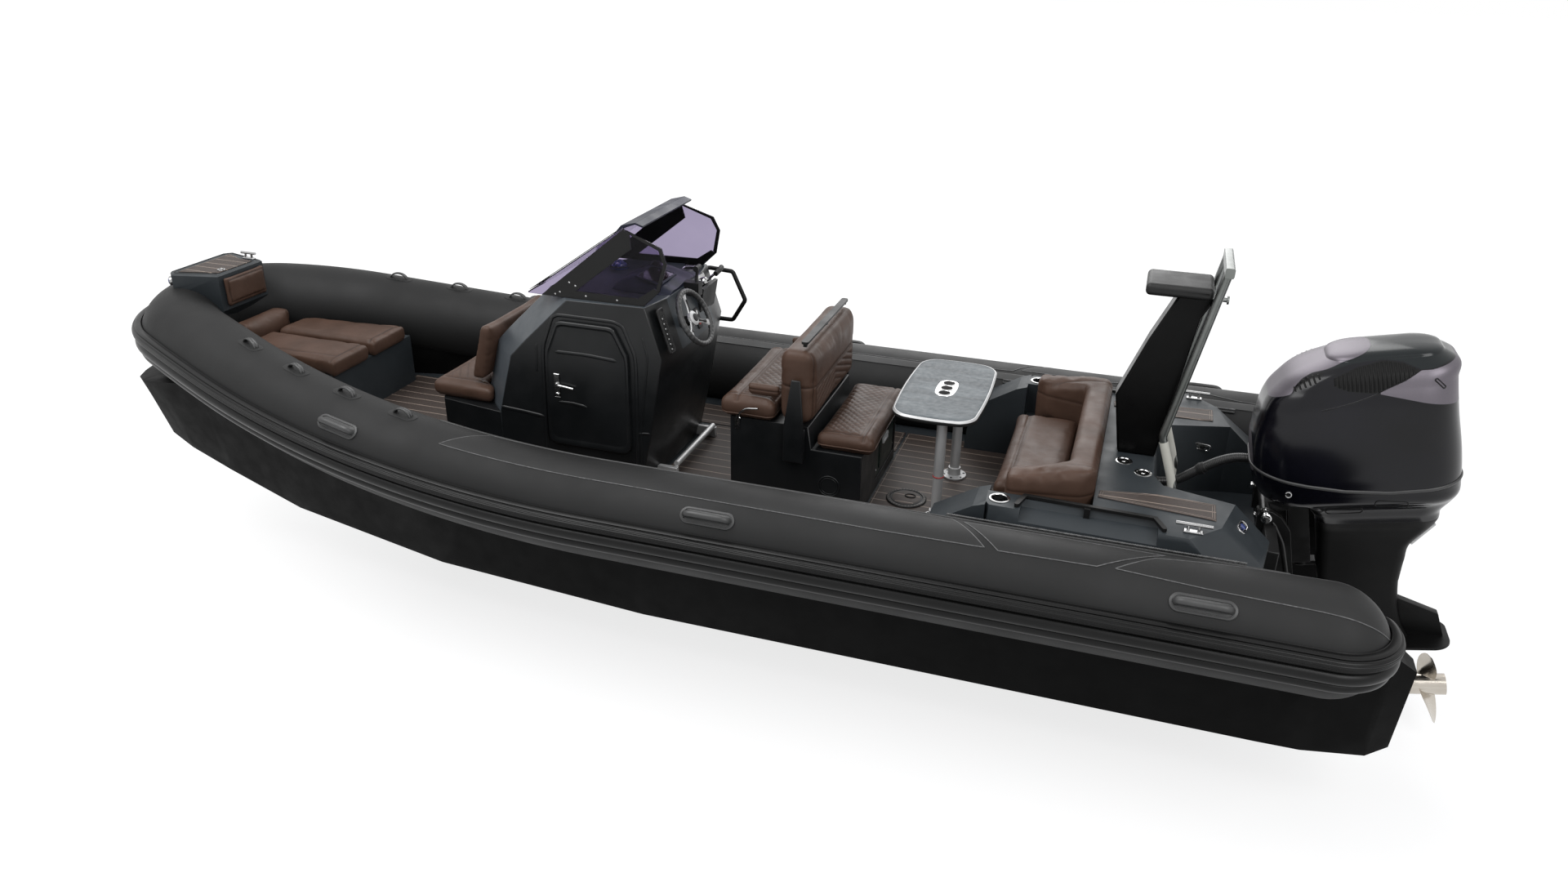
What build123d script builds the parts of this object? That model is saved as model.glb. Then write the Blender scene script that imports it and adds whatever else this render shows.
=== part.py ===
"""Rigid inflatable boat with a console, seats, table, ski pylon and one outboard engine.

Millimetres. +X points to the bow, +Y to port and +Z up. The origin is on the centreline,
on the outer face of the transom, at the loaded waterline.
"""
import os
from math import atan2, cos, degrees, pi, radians, sin, sqrt, tan

from build123d import *

os.makedirs("parts", exist_ok=True)

# ---------------------------------------------------------------- driving dimensions
TUBE_R = 265            # radius of the inflated tube
TUBE_Y = 1126           # tube centre from the centreline, on the straight run
TUBE_Z = 662            # tube centre above the waterline, on the straight run
TUBE_AFT = -167         # centre of the domed stern end
TUBE_BEND = 3450        # where the straight run ends
TUBE_SHOULDER = (6187, 713, 906)        # a point on the tube's centre near the bow
SHOULDER_RUN = (800, -265, 139)         # the direction of the tube there
TUBE_NOSE = (7100, 0, 1005)             # tube centre at the stem

DECK_Z = 480            # top of the cockpit sole
LINER_T = 25            # thickness of the sole
PLANK_T = 5             # thickness of the synthetic planking
KEEL_Z = -400           # bottom of the keel aft
GAP = 0.3               # clearance under soft pieces and at light seats

TRANSOM_Z = 725         # top edge of the transom, between the well's sides
TRANSOM_T = 60
WELL_HALF = 455         # half width of the engine well
WELL_AFT = TRANSOM_T
WELL_FRONT = 650        # forward edge of the well at the top
WELL_FOOT = 590         # forward wall of the well at its floor
WELL_Z = 560            # floor of the well
POD_AFT = -590          # aft end of the hull pods beside the engine
POD_TOP = 190           # step on top of each pod
POD_IN = 630            # inner face of each pod
COAMING_Z = 960         # top of the stern moulding

CONSOLE_HALF = 470      # half width of the console
CONSOLE_AFT = 3500
CONSOLE_FRONT = 4700
CONSOLE_TOP = 1600
CONSOLE_BEVEL = 215     # the front corners are cut back by this much
CONSOLE_AFT_BEVEL = 40  # and the aft corners by this much
CONSOLE_WALL = 12

TILT_X, TILT_Z = 58, 768        # axis of the engine's tilt tube
TRIM = 12.5                     # how far the engine is trimmed out as it stands
STEER_X = -170                  # swivel axis behind the tilt tube, in the engine's frame
PROP_Z = -1160                  # propeller shaft below the tilt tube
PROP_X = -780                   # middle of the hub behind the tilt tube
PROP_R = 205


# ---------------------------------------------------------------- small helpers
def save(name, *shapes):
    """Write the solids of one piece to its STEP file."""
    solids = [s for shape in shapes for s in shape.solids()]
    export_step(Compound(children=solids), f"parts/{name}.step")


def block(x0, x1, y0, y1, z0, z1):
    """A box between its low and high corner values."""
    return Pos((x0 + x1) / 2, (y0 + y1) / 2, (z0 + z1) / 2) * Box(x1 - x0, y1 - y0, z1 - z0)


def side_prism(profile, y0, y1):
    """A side profile of (x, z) points carried from y0 to y1."""
    face = Face(Wire.make_polygon([Vector(x, y0, z) for x, z in profile], close=True))
    return extrude(face, amount=y1 - y0, dir=(0, 1, 0))


def plan_prism(outline, z0, z1):
    """A plan outline of (x, y) points carried from z0 to z1."""
    face = Face(Wire.make_polygon([Vector(x, y, z0) for x, y in outline], close=True))
    return extrude(face, amount=z1 - z0, dir=(0, 0, 1))


def both(shape):
    """A shape and its mirror image across the centreline."""
    return shape + mirror(shape, Plane.XZ)


def rod(points, r, bend=None):
    """A round bar through points, with its corners bent to a radius."""
    pts = [Vector(*p) for p in points]
    path = Polyline(*pts) if bend is None else FilletPolyline(*pts, radius=bend)
    edge = path.edges()[0] if len(pts) == 2 else path
    start = Plane(origin=pts[0], z_dir=(pts[1] - pts[0]).normalized())
    return sweep(start * Circle(r), path=edge)


def rounded(shape, r):
    """Round every edge of a block."""
    return fillet(shape.edges(), r)


def cushion(x0, x1, y0, y1, z0, z1, r):
    """A plain pad with rounded edges."""
    return rounded(block(x0, x1, y0, y1, z0, z1), r)


# ---------------------------------------------------------------- tubes and strakes
def tube_path(out=0.0, up=0.0):
    """Edges of the tube's centre line, moved outboard and upward by the two offsets.

    The line is straight from the stern to TUBE_BEND. Two pairs of tangent arcs carry it
    through the shoulder to the stem, where it crosses the centreline square.
    """
    run = Vector(*SHOULDER_RUN).normalized()
    stations = [
        (Vector(TUBE_AFT, TUBE_Y, TUBE_Z), Vector(1, 0, 0)),
        (Vector(TUBE_BEND, TUBE_Y, TUBE_Z), Vector(1, 0, 0)),
        (Vector(*TUBE_SHOULDER), run),
        (Vector(*TUBE_NOSE), Vector(0, -1, 0)),
    ]
    moved = []
    for point, t in stations:
        side = Vector(-t.Y, t.X, 0).normalized()
        moved.append((point + side * out + t.cross(side) * up, t))
    edges = [Edge.make_line(moved[0][0], moved[1][0])]
    for (p0, t0), (p1, t1) in zip(moved[1:], moved[2:]):
        v, t = p1 - p0, t0 + t1
        k = 2 * (1 - t0.dot(t1))
        d = (-v.dot(t) + sqrt(v.dot(t) ** 2 + k * v.dot(v))) / k
        middle = (p0 + t0 * d + p1 - t1 * d) / 2
        edges.append(Edge.make_tangent_arc(p0, t0, middle))
        edges.append(Edge.make_tangent_arc(middle, edges[-1] % 1, p1))
    return edges


def pipe(edges, r):
    """A round pipe of radius r along joined edges."""
    section = Plane(origin=edges[0] @ 0, z_dir=edges[0] % 0) * Circle(r)
    return sweep(section, path=Wire(edges))


def port_half(shape):
    """Trim a shape at the centreline, to its port side."""
    return shape & block(-2000, 9000, 0, 2500, -1000, 3000)


def make_tube():
    dome = Pos(TUBE_AFT, TUBE_Y, TUBE_Z) * Sphere(TUBE_R)
    return pipe(tube_path(), TUBE_R) + dome


# each bead of the rub strake: distance of its centre from the tube's, angle, radius
STRAKE_BEADS = ((TUBE_R + 12, 12.5, 42), (TUBE_R + 8, -2.5, 36), (TUBE_R + 4, -15, 28))


def make_strake(tube):
    """Three beads side by side along the tube's shoulder, carried round its stern end."""
    beads = []
    for reach, angle, r in STRAKE_BEADS:
        out, up = reach * cos(radians(angle)), reach * sin(radians(angle))
        edges = tube_path(out, up)
        centre = Plane(origin=(TUBE_AFT, TUBE_Y, TUBE_Z + up))
        stern = centre * CenterArc((0, 0), out, 90, 130)
        beads.append(pipe(edges, r))
        beads.append(pipe([stern.edges()[0]], r))
    strake = beads[0]
    for bead in beads[1:]:
        strake = strake + bead
    return strake - tube


tube = make_tube()
strake = make_strake(tube)
save("tube_port", port_half(tube))
save("tube_starboard", mirror(port_half(tube), Plane.XZ))
save("rub_strake_port", port_half(strake))
save("rub_strake_starboard", mirror(port_half(strake), Plane.XZ))
tubes = port_half(tube) + mirror(port_half(tube), Plane.XZ)
strakes = port_half(strake) + mirror(port_half(strake), Plane.XZ)

# ---------------------------------------------------------------- hull
# station: x, keel z, chine y, chine z, side y and z where it meets the tube
HULL_STATIONS = (
    (POD_AFT, -200, 950, 20, 1040, 520),
    (-490, -340, 995, -25, 1085, 600),
    (-200, KEEL_Z + 2, 1030, -43, 1100, 620),
    (0, KEEL_Z, 1035, -43, 1100, 620),
    (3300, KEEL_Z - 10, 1030, -45, 1100, 620),
    (4700, KEEL_Z - 18, 930, -40, 1040, 700),
    (5900, KEEL_Z - 5, 745, 25, 880, 800),
    (6500, KEEL_Z + 60, 665, 165, 800, 830),
    (6850, KEEL_Z + 175, 610, 250, 760, 790),
    (7050, KEEL_Z + 290, 560, 310, 700, 750),
    (7200, 10, 470, 380, 590, 715),
    (7310, 170, 350, 470, 440, 690),
    (7390, 350, 190, 560, 240, 680),
)
# spray rails under the hull: share of the half width at their outer edge, from x, to x
SPRAY_RAILS = ((0.36, 0, 6500), (0.7, 0, 5900))
RAIL_W, RAIL_DROP = 60, 22


def hull_section(x, keel_z, chine_y, chine_z, side_y, side_z):
    half = [(0, keel_z), (chine_y, chine_z), (side_y, side_z)]
    points = half + [(-y, z) for y, z in reversed(half) if y > 0]
    return Face(Wire.make_polygon([Vector(x, y, z) for y, z in points], close=True))


def spray_rail(share, start, end):
    """A wedge under one side of the bottom, flat below and blending inward into the V."""
    sections = []
    for x, keel_z, chine_y, chine_z, _, _ in HULL_STATIONS:
        if start <= x <= end:
            rise = (chine_z - keel_z) / chine_y
            y = share * chine_y
            z = keel_z + rise * y
            points = [(y - RAIL_W, z - rise * RAIL_W), (y, z - RAIL_DROP), (y, z + 4), (y - RAIL_W, z - rise * RAIL_W + 4)]
            sections.append(Face(Wire.make_polygon([Vector(x, a, b) for a, b in points], close=True)))
    return loft(sections, ruled=True)


def make_hull():
    shell = loft([hull_section(*row) for row in HULL_STATIONS], ruled=True)
    for row in SPRAY_RAILS:
        shell = shell + both(spray_rail(*row))
    inner = [(1000, 925), (3600, 925), (4700, 830), (5500, 700), (6200, 520), (6700, 330), (6900, 200)]
    outline = inner + [(x, -y) for x, y in reversed(inner)]
    pocket = plan_prism(outline, DECK_Z - LINER_T, 1500)
    well = block(-2000, 1000, -925, 925, DECK_Z - LINER_T, 1500)
    notch = block(-2000, 0, -POD_IN, POD_IN, -1000, 1500)
    pod_top = block(-2000, 0, -925, 925, POD_TOP, 1500)
    return shell - pocket - well - notch - pod_top - tubes - strakes


hull = make_hull()
save("hull", hull)

# ---------------------------------------------------------------- cockpit sole
SOLE_OUTLINE = ((1000, 925), (3600, 925), (4700, 830), (5500, 700), (6200, 520), (6700, 330), (6900, 200))


def make_sole():
    outline = list(SOLE_OUTLINE) + [(x, -y) for x, y in reversed(SOLE_OUTLINE)]
    return plan_prism(outline, DECK_Z - LINER_T, DECK_Z) - tubes


save("deck_sole", make_sole())

# planked panels: x0, x1, half width, inner half width (0 when the panel is whole)
PLANKS = ((1500, 2190, 800, 0), (2205, 4480, 800, 500), (2995, 3480, 485, 0), (4930, 5840, 560, 0))


def make_planking():
    panels = []
    for x0, x1, half, inner in PLANKS:
        if inner:
            panels.append(both(block(x0, x1, inner, half, DECK_Z, DECK_Z + PLANK_T)))
        else:
            panels.append(block(x0, x1, -half, half, DECK_Z, DECK_Z + PLANK_T))
    return panels


planks = make_planking()

HATCH = (1994, 116, 119)
hatch_plate = Pos(HATCH[0], HATCH[1], DECK_Z + PLANK_T + 4) * Cylinder(HATCH[2], 8)
save("deck_hatch", hatch_plate)

# ---------------------------------------------------------------- stern moulding
BENCH_FRONT = 1430      # forward face of the bench locker
BENCH_SEAT_Z = 770      # top of the bench locker
ARM_IN = 765            # inner face of the side coamings
COAMING_OUT = 950


# plan of one side at the top: from the forward inner corner round to the well
COAMING_TOP = ((1448, 777), (1441, 884), (1421, 918), (468, 941), (321, 780), (251, 502))
COAMING_FOOT = ((1448, 777), (1441, 900), (1421, 950), (310, 950), (110, 800), (62, 520))
COAMING_FOOT_Z = 790
WELL_TOP = ((-10, 530), (251, 502), (600, 406), (WELL_FRONT, 300))      # port side of the well at the top
WELL_BOTTOM = ((-10, 500), (251, 460), (540, 380), (WELL_FOOT, 280))
FAIRING = ((1440, DECK_Z), (1440, COAMING_Z), (1500, 940), (1730, 800), (1790, 620), (1800, DECK_Z))
RECESS = ((800, COAMING_Z + 1), (812, 922), (960, 892), (960, COAMING_Z + 1))        # y and z of the rail's recess
RECESS_X = (610, 1268)


def mirrored(half):
    """Close a half outline with its mirror image across the centreline."""
    return list(half) + [(x, -y) for x, y in reversed(half)]


def ruled_between(low, z0, high, z1):
    """A solid between two plan outlines at two heights."""
    faces = [Face(Wire.make_polygon([Vector(x, y, z) for x, y in pts], close=True)) for pts, z in ((low, z0), (high, z1))]
    return loft(faces, ruled=True)


def make_stern_moulding():
    """Side coamings, the deck over the bench and well, and the bench locker."""
    inner = [(1448, ARM_IN), (930, ARM_IN)]
    top = [inner[1], inner[0]] + list(COAMING_TOP[1:])
    foot = [inner[1], inner[0]] + list(COAMING_FOOT[1:])
    body = ruled_between(mirrored(foot), COAMING_FOOT_Z, mirrored(top), COAMING_Z)
    body = body + plan_prism(mirrored(foot), DECK_Z, COAMING_FOOT_Z)
    body = body + block(930, BENCH_FRONT, -ARM_IN, ARM_IN, DECK_Z, BENCH_SEAT_Z)
    body = body + both(side_prism(FAIRING, 700, 925))
    well = ruled_between(mirrored(WELL_BOTTOM), WELL_Z, mirrored(WELL_TOP), COAMING_Z + 1)
    body = body - well - block(-10, WELL_AFT, -WELL_HALF - 40, WELL_HALF + 40, DECK_Z - 1, 1500)
    face = Face(Wire.make_polygon([Vector(RECESS_X[0], y, z) for y, z in RECESS], close=True))
    body = body - both(extrude(face, amount=RECESS_X[1] - RECESS_X[0], dir=(1, 0, 0)))
    for x, y in CUPS:
        body = body - both(Pos(x, y, COAMING_Z - CUP_DEEP / 2) * Cylinder(CUP_R, CUP_DEEP))
    return body - tubes - hull


CUPS = ((1380, 836),)   # centre of the cup holder in each coaming
CUP_R, CUP_DEEP = 42, 75
stern_moulding = make_stern_moulding()
save("stern_moulding", stern_moulding)

transom = block(0, TRANSOM_T, -WELL_HALF - 40, WELL_HALF + 40, DECK_Z - LINER_T, TRANSOM_Z)
save("transom", transom)

BENCH = dict(x0=1075, x1=1475, half=520, z=BENCH_SEAT_Z + GAP, top=885)
save("bench_cushion", cushion(BENCH["x0"], BENCH["x1"], -BENCH["half"], BENCH["half"],
                              BENCH["z"], BENCH["top"], 45))


# plan of one half of the wrap-round backrest, and the slope of its arms from the corner to their ends
BACK_PLAN = ((1072, 0), (1072, 535), (1385, 615), (1385, 755), (960, 690), (935, 640), (935, 0))
BACK_TOP, ARM_TOP = 1115, 1050


def make_bench_back():
    """The wrap-round backrest: a U in plan, thick and rounded, lower at the ends of its arms."""
    outline = list(BACK_PLAN) + [(x, -y) for x, y in reversed(BACK_PLAN[1:-1])]
    back = plan_prism(outline, BENCH_SEAT_Z + GAP, BACK_TOP)
    slope = side_prism([(1072, BACK_TOP + 1), (1072, BACK_TOP), (1400, ARM_TOP), (1400, BACK_TOP + 1)], -800, 800)
    back = fillet(back.edges().filter_by(Axis.Z), 30)
    return back - slope


save("bench_backrest", make_bench_back())

PAD_OUTLINE = ((907, 579), (625, 526), (345, 545), (345, 718), (912, 655))
pad = plan_prism(PAD_OUTLINE, COAMING_Z, COAMING_Z + PLANK_T)
LOCKER_Z = 1362         # top of the bow locker
BOW_PAD = ((6770, 165), (7040, 240), (7040, -230), (6895, -160), (6770, -145))
save("step_pads", both(pad), plan_prism(BOW_PAD, LOCKER_Z, LOCKER_Z + PLANK_T))

def ring(x, y, z, r_out, r_in, t):
    return Pos(x, y, z + t / 2) * (Cylinder(r_out, t) - Cylinder(r_in, t))


save("coaming_cup_rings", *[ring(x, s * y, COAMING_Z, CUP_R + 10, CUP_R + 2, 6) for x, y in CUPS for s in (1, -1)])

# a handrail stands on three feet along each coaming
RAIL = ((1287, 894), (1258, 788), (629, 812), (585, 905))
RAIL_Z = COAMING_Z + 12         # centre of the flat bar


def make_rail():
    """A flat bar bent round the recess, with its ends on the coaming and a post in the middle."""
    legs = []
    for (x0, y0), (x1, y1) in zip(RAIL, RAIL[1:]):
        run = Vector(x1 - x0, y1 - y0, 0)
        bar = Location((x0, y0, RAIL_Z), (0, 0, degrees(atan2(run.Y, run.X)))) * Pos(run.length / 2, 0, 0)
        legs.append(bar * Box(run.length, 24, 16))
        legs.append(Pos(x1, y1, RAIL_Z) * Cylinder(12, 16))
    feet = [Pos(x, y, (RAIL_Z + COAMING_Z) / 2) * Cylinder(12, RAIL_Z - COAMING_Z) for x, y in (RAIL[0], RAIL[3])]
    post = block(935, 965, 803, 827, 880, RAIL_Z)
    rail = legs[0] + Pos(RAIL[0][0], RAIL[0][1], RAIL_Z) * Cylinder(12, 16)
    for piece in legs[1:] + feet + [post]:
        rail = rail + piece
    return rail - stern_moulding


rail = make_rail()
save("coaming_handrails", rail, mirror(rail, Plane.XZ))


def make_cleat(x, y, z, length=170):
    base = rounded(Pos(0, 0, 5) * Box(90, 34, 10), 4)
    legs = Pos(25, 0, 22) * Cylinder(8, 30) + Pos(-25, 0, 22) * Cylinder(8, 30)
    bar = Pos(0, 0, 42) * Rot(0, 90, 0) * Cylinder(9, length)
    return Pos(x, y, z) * (base + legs + bar)


save("mooring_cleats", make_cleat(452, 870, COAMING_Z), make_cleat(452, -870, COAMING_Z),
     make_cleat(6835, -190, LOCKER_Z, 120))

# ---------------------------------------------------------------- ski pylon
FIN_TOP = 1880
FIN = ((853, COAMING_Z), (905, 1290), (861, 1407), (781, 1624), (667, FIN_TOP), (505, FIN_TOP),
       (505, 1836), (545, 1760), (600, 1354), (655, COAMING_Z))
fin = side_prism(FIN, -70, 70)
save("pylon_fin", fin)

LEG = ((540, WELL_Z), (540, 845), (635, 1130), (456, 2050))


def make_pylon_frame():
    left = rod([(x, 165, z) for x, z in LEG], 22, 60)
    bar = fillet(block(434, 478, -202, 202, 2022, 2074).edges().filter_by(Axis.Y), 8)
    plate = block(488, 504.7, -165, 165, 1836, FIN_TOP)
    tow = Pos(458, 0, 1856) * Rot(0, 90, 0) * (Cylinder(TOW_R, 60) + Pos(0, 0, -30) * Cylinder(22, 10))
    return left + mirror(left, Plane.XZ) + bar + plate + tow


TOW_R = 12
save("pylon_frame", make_pylon_frame())
save("pylon_platform", rounded(block(505, 835, -150, 150, FIN_TOP, 1945), 25))

# ---------------------------------------------------------------- table
TABLE = (1835, -62, 500, 930)
TABLE_TOP = 1145
TABLE_T = 32
CORNER = 90             # the table's corner radius
BULGE = 22              # how far each side bows out


def barrel(length, width, bulge):
    """A rectangle whose four sides bow outward."""
    a, b = length / 2 - bulge, width / 2 - bulge
    sides = [ThreePointArc((a, -b), (length / 2, 0), (a, b)), ThreePointArc((a, b), (0, width / 2), (-a, b)),
             ThreePointArc((-a, b), (-length / 2, 0), (-a, -b)), ThreePointArc((-a, -b), (0, -width / 2), (a, -b))]
    return make_face(sides)


face = barrel(TABLE[2], TABLE[3], BULGE)
face = fillet(face.vertices(), CORNER)
plate = Pos(TABLE[0], TABLE[1], TABLE_TOP - TABLE_T) * extrude(face, TABLE_T)
plate = chamfer(plate.faces().sort_by(Axis.Z)[-1].edges(), 10)
INSERT = (120, 250, 3)          # the metal insert's size along x and y, and its thickness
INSERT_R = 33                   # each of its three holes
place = Pos(TABLE[0], TABLE[1], TABLE_TOP - INSERT[2])
recess = extrude(fillet(barrel(INSERT[0] + 2 * GAP, INSERT[1] + 2 * GAP, 12).vertices(), 30), INSERT[2])
insert = extrude(fillet(barrel(INSERT[0], INSERT[1], 12).vertices(), 30), INSERT[2])
for y in (-76, 0, 76):
    insert = insert - Pos(0, y, 0) * Cylinder(INSERT_R, 20)
save("table_cup_insert", place * insert)
plate = plate - place * recess
save("table_top", plate)
legs = [Pos(1785, y, 0) * (Pos(0, 0, (DECK_Z + PLANK_T + TABLE_TOP - TABLE_T) / 2)
        * Cylinder(29, TABLE_TOP - TABLE_T - DECK_Z - PLANK_T)
        + Pos(0, 0, DECK_Z + PLANK_T + 6) * Cylinder(75, 12) + Pos(0, 0, DECK_Z + PLANK_T + 30) * Cylinder(38, 60)
        + Pos(0, 0, TABLE_TOP - TABLE_T - 5) * Cylinder(75, 10)) for y in (300, -285)]
save("table_pedestals", *legs)

# ---------------------------------------------------------------- helm seat
FRIDGE = dict(x0=2235, x1=2480, y0=-400, y1=60, z0=DECK_Z + 60, z1=835)
FRIDGE_WALL = 35
FRIDGE_DOOR_T = 28
HELM = dict(front=2985, back=2515, aft=2200, half=430, top=1000, low=865)


def make_helm_base():
    body = side_prism([(HELM["front"], DECK_Z), (HELM["front"], HELM["top"]),
                       (HELM["back"], HELM["top"]), (HELM["back"] - 20, HELM["low"]),
                       (HELM["aft"], HELM["low"]), (HELM["aft"], DECK_Z)],
                      -HELM["half"], HELM["half"])
    return body - block(HELM["aft"] - 1, FRIDGE["x1"], FRIDGE["y0"], FRIDGE["y1"], FRIDGE["z0"], FRIDGE["z1"])


save("helm_seat_cushion", cushion(2700, 3060, -470, 470, HELM["top"] + GAP, 1130, 50))
helm_backrest = cushion(2490, 2690, -465, 465, HELM["top"] + GAP, 1465, 60)
save("helm_backrest", helm_backrest)
# a folding bracket beside each end of the backrest, on a boss of the box
ARM = ((2530, 790), (2650, 790), (2650, 1000), (2607, 1290), (2555, 1290), (2530, 1000))
arm = side_prism(ARM, 465 + GAP, 477) + block(2540, 2640, HELM["half"], 477, 800, 980)
save("helm_seat_base", make_helm_base() + both(arm))
rest = cushion(2690 + GAP, 2890, 370, 430, 1145, 1220, 25)
save("helm_armrests", rest, mirror(rest, Plane.XZ))
save("aft_seat_cushion", cushion(2120, 2490, -440, 440, HELM["low"] + GAP, 975, 45))
bar = fillet(block(2534, 2574, -415, 415, 1484, 1498).edges().filter_by(Axis.Z), 15)
for y in (-395, 0, 395):
    bar = bar + block(2544, 2564, y - 9, y + 9, 1420, 1484)
save("backrest_grab_bar", bar - helm_backrest)
fridge = block(*FRIDGE.values())
hollow = block(FRIDGE["x0"] - 1, FRIDGE["x1"] - FRIDGE_WALL, FRIDGE["y0"] + FRIDGE_WALL, FRIDGE["y1"] - FRIDGE_WALL,
               FRIDGE["z0"] + FRIDGE_WALL, FRIDGE["z1"] - FRIDGE_WALL)
save("fridge_body", fridge - hollow)
save("fridge_door", block(FRIDGE["x0"] - GAP - FRIDGE_DOOR_T, FRIDGE["x0"] - GAP, FRIDGE["y0"] + 5,
                          FRIDGE["y1"] - 5, FRIDGE["z0"] + 5, FRIDGE["z1"] - 5))

# ---------------------------------------------------------------- console
# side profile of the middle, from the aft foot up and over to the front foot
CONSOLE_PROFILE = ((CONSOLE_AFT, DECK_Z + PLANK_T), (3430, 815), (3345, 1300), (3440, CONSOLE_TOP),
                   (4185, CONSOLE_TOP - 10), (4504, 1284), (4585, 1200), (4690, 830),
                   (CONSOLE_FRONT, DECK_Z + PLANK_T))


def console_block(inset):
    """The console's outer form, or its inner one when inset by the wall."""
    def section(y, back):
        pts = [(x - back if i > 3 else x + (CONSOLE_AFT_BEVEL if back else 0), z)
               for i, (x, z) in enumerate(CONSOLE_PROFILE)]
        face = Face(Wire.make_polygon([Vector(x, y, z) for x, z in pts], close=True))
        if inset:
            face = offset(face, amount=-inset)
        return face
    flat = CONSOLE_HALF - CONSOLE_BEVEL
    side, mid = section(CONSOLE_HALF - inset, CONSOLE_BEVEL), section(flat, 0)
    middle = extrude(section(-flat, 0), amount=2 * flat, dir=(0, 1, 0))
    wing = loft([mid, side], ruled=True)
    return middle + wing + mirror(wing, Plane.XZ)


DOOR = ((3610, 690), (3600, 1290), (3680, 1450), (4030, 1450), (4110, 1260), (4130, 690))


def make_console():
    shell = console_block(0) - console_block(CONSOLE_WALL)
    opening = side_prism(DOOR, CONSOLE_HALF - 60, CONSOLE_HALF + 20)
    return shell - opening


save("console_shell", make_console())
DOOR_LIP = 15
door = offset(Face(Wire.make_polygon([Vector(x, CONSOLE_HALF + GAP, z) for x, z in DOOR], close=True)),
              amount=DOOR_LIP)
save("console_door", extrude(door, amount=25, dir=(0, 1, 0)))

# windscreen: front pane and two side panes
SCREEN_IN, SCREEN_FORE = 75 / 410, 25 / 715     # how the side panes lean in going up and forward


def side_pane_y(x, z):
    """The side pane's plane: its distance from the centreline at a point of its side view."""
    return 440 - SCREEN_FORE * (x - 3500) - SCREEN_IN * (z - 1600)


SIDE_PANE = ((4244, 1590), (3504, 1590), (3398, 1690), (3362, 1842), (3398, 1928), (3640, 2010))
low, high = [Vector(x, side_pane_y(x, z) - GAP, z) for x, z in (SIDE_PANE[0], SIDE_PANE[-1])]
corners = [low, Vector(low.X, -low.Y, low.Z), Vector(high.X, -high.Y, high.Z), high]
screen_front = extrude(Face(Wire.make_polygon(corners, close=True)), amount=6, dir=(0.57, 0, 0.82))
side_face = Face(Wire.make_polygon([Vector(x, side_pane_y(x, z), z) for x, z in SIDE_PANE], close=True))
pane = extrude(side_face, amount=6, dir=(0, 1, 0))
panes = [p - console_block(0) for p in (screen_front, pane, mirror(pane, Plane.XZ))]
save("windscreen_panes", *panes)
# a hood over the top edge of the front pane
VISOR = ((3712, 1966), (3660, 2024), (3572, 2047), (3525, 2032), (3528, 2022), (3572, 2036), (3640, 2012))
save("windscreen_visor", side_prism(VISOR, -350, 350) - screen_front)

WHEEL = (3300, 165, 1470)
WHEEL_TILT = 28
wheel_frame = Location(WHEEL, (0, -90 + WHEEL_TILT, 0))
wheel = Torus(162, 15) + Pos(0, 0, -8) * Cylinder(42, 44)
for k in range(3):
    wheel = wheel + Rot(0, 0, 90 + 120 * k) * Pos(90, 0, 0) * Box(150, 30, 12)
save("steering_wheel", wheel_frame * wheel)
column = wheel_frame * (Pos(0, 0, -75 - GAP) * Cylinder(30, 90))
throttle = (block(3345, 3445, -60, 0, 1540, 1620) + rod([(3372, -30, 1600), (3372, -52, 1690)], 9)
            + Pos(3372, -54, 1700) * Rot(90, 0, 0) * Cylinder(17, 60))
plotter = side_prism([(3400, 1400), (3372, 1560), (3352, 1555), (3380, 1395)], -330, -100)
save("helm_controls", column - console_block(0), throttle - console_block(0), plotter - console_block(0))
GRAB = ((3500, -440, 1560), (3500, -530, 1560), (3330, -530, 1550), (3245, -530, 1370), (3330, -530, 1228),
        (3440, -530, 1228), (3440, -440, 1228))
rail = rod(GRAB, 14, 25)
foot = Pos(3387, 0, 566) * Rot(90, 0, 0) * Cylinder(19, 600)
cheek = side_prism([(3372, DECK_Z + PLANK_T), (3372, 550), (3520, 550), (3520, DECK_Z + PLANK_T)], 300, 330)
save("console_rails", rail - console_block(0), foot + both(cheek) - console_block(0))

# ---------------------------------------------------------------- front seat
SEAT_BASE = ((4950, 360), (4925, 400), (4480, CONSOLE_HALF))
seat_base = plan_prism(mirrored(SEAT_BASE), DECK_Z, 815) - console_block(0)
save("front_seat_base", seat_base)
SEAT = ((5040, 400), (4575, 425), (4575, 300))
seat = fillet(plan_prism(mirrored(SEAT), 815 + GAP, 925).edges(), 40) - console_block(-GAP)
save("front_seat_cushion", seat)
back = side_prism([(4657.8, 945), (4587.7, 1192), (4570, 1320), (4650, 1320), (4755, 945)], -370, 370)
save("front_seat_backrest", fillet((back - console_block(-GAP)).edges().filter_by(Axis.Y), 20))

# ---------------------------------------------------------------- bow
sun_plan = [(5790, 470), (6300, 430), (6700, 240)]
sunpad_base = plan_prism(mirrored(sun_plan), DECK_Z, 830) - tubes
save("sunpad_base", sunpad_base)
save("deck_planking", *[p - stern_moulding - seat_base - sunpad_base for p in planks])
half_plan = [(5730, 4), (5730, 400), (6470, 345), (6565, 290), (6565, 4)]
half = fillet(plan_prism(half_plan, 830 + GAP, 945).edges(), 25) - tubes
save("sunpad_cushion_port", half)
save("sunpad_cushion_starboard", mirror(half, Plane.XZ))
save("sunpad_roll", cushion(6570, 6730, -230, 230, 830 + GAP, 1035, 45) - tubes)

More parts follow.
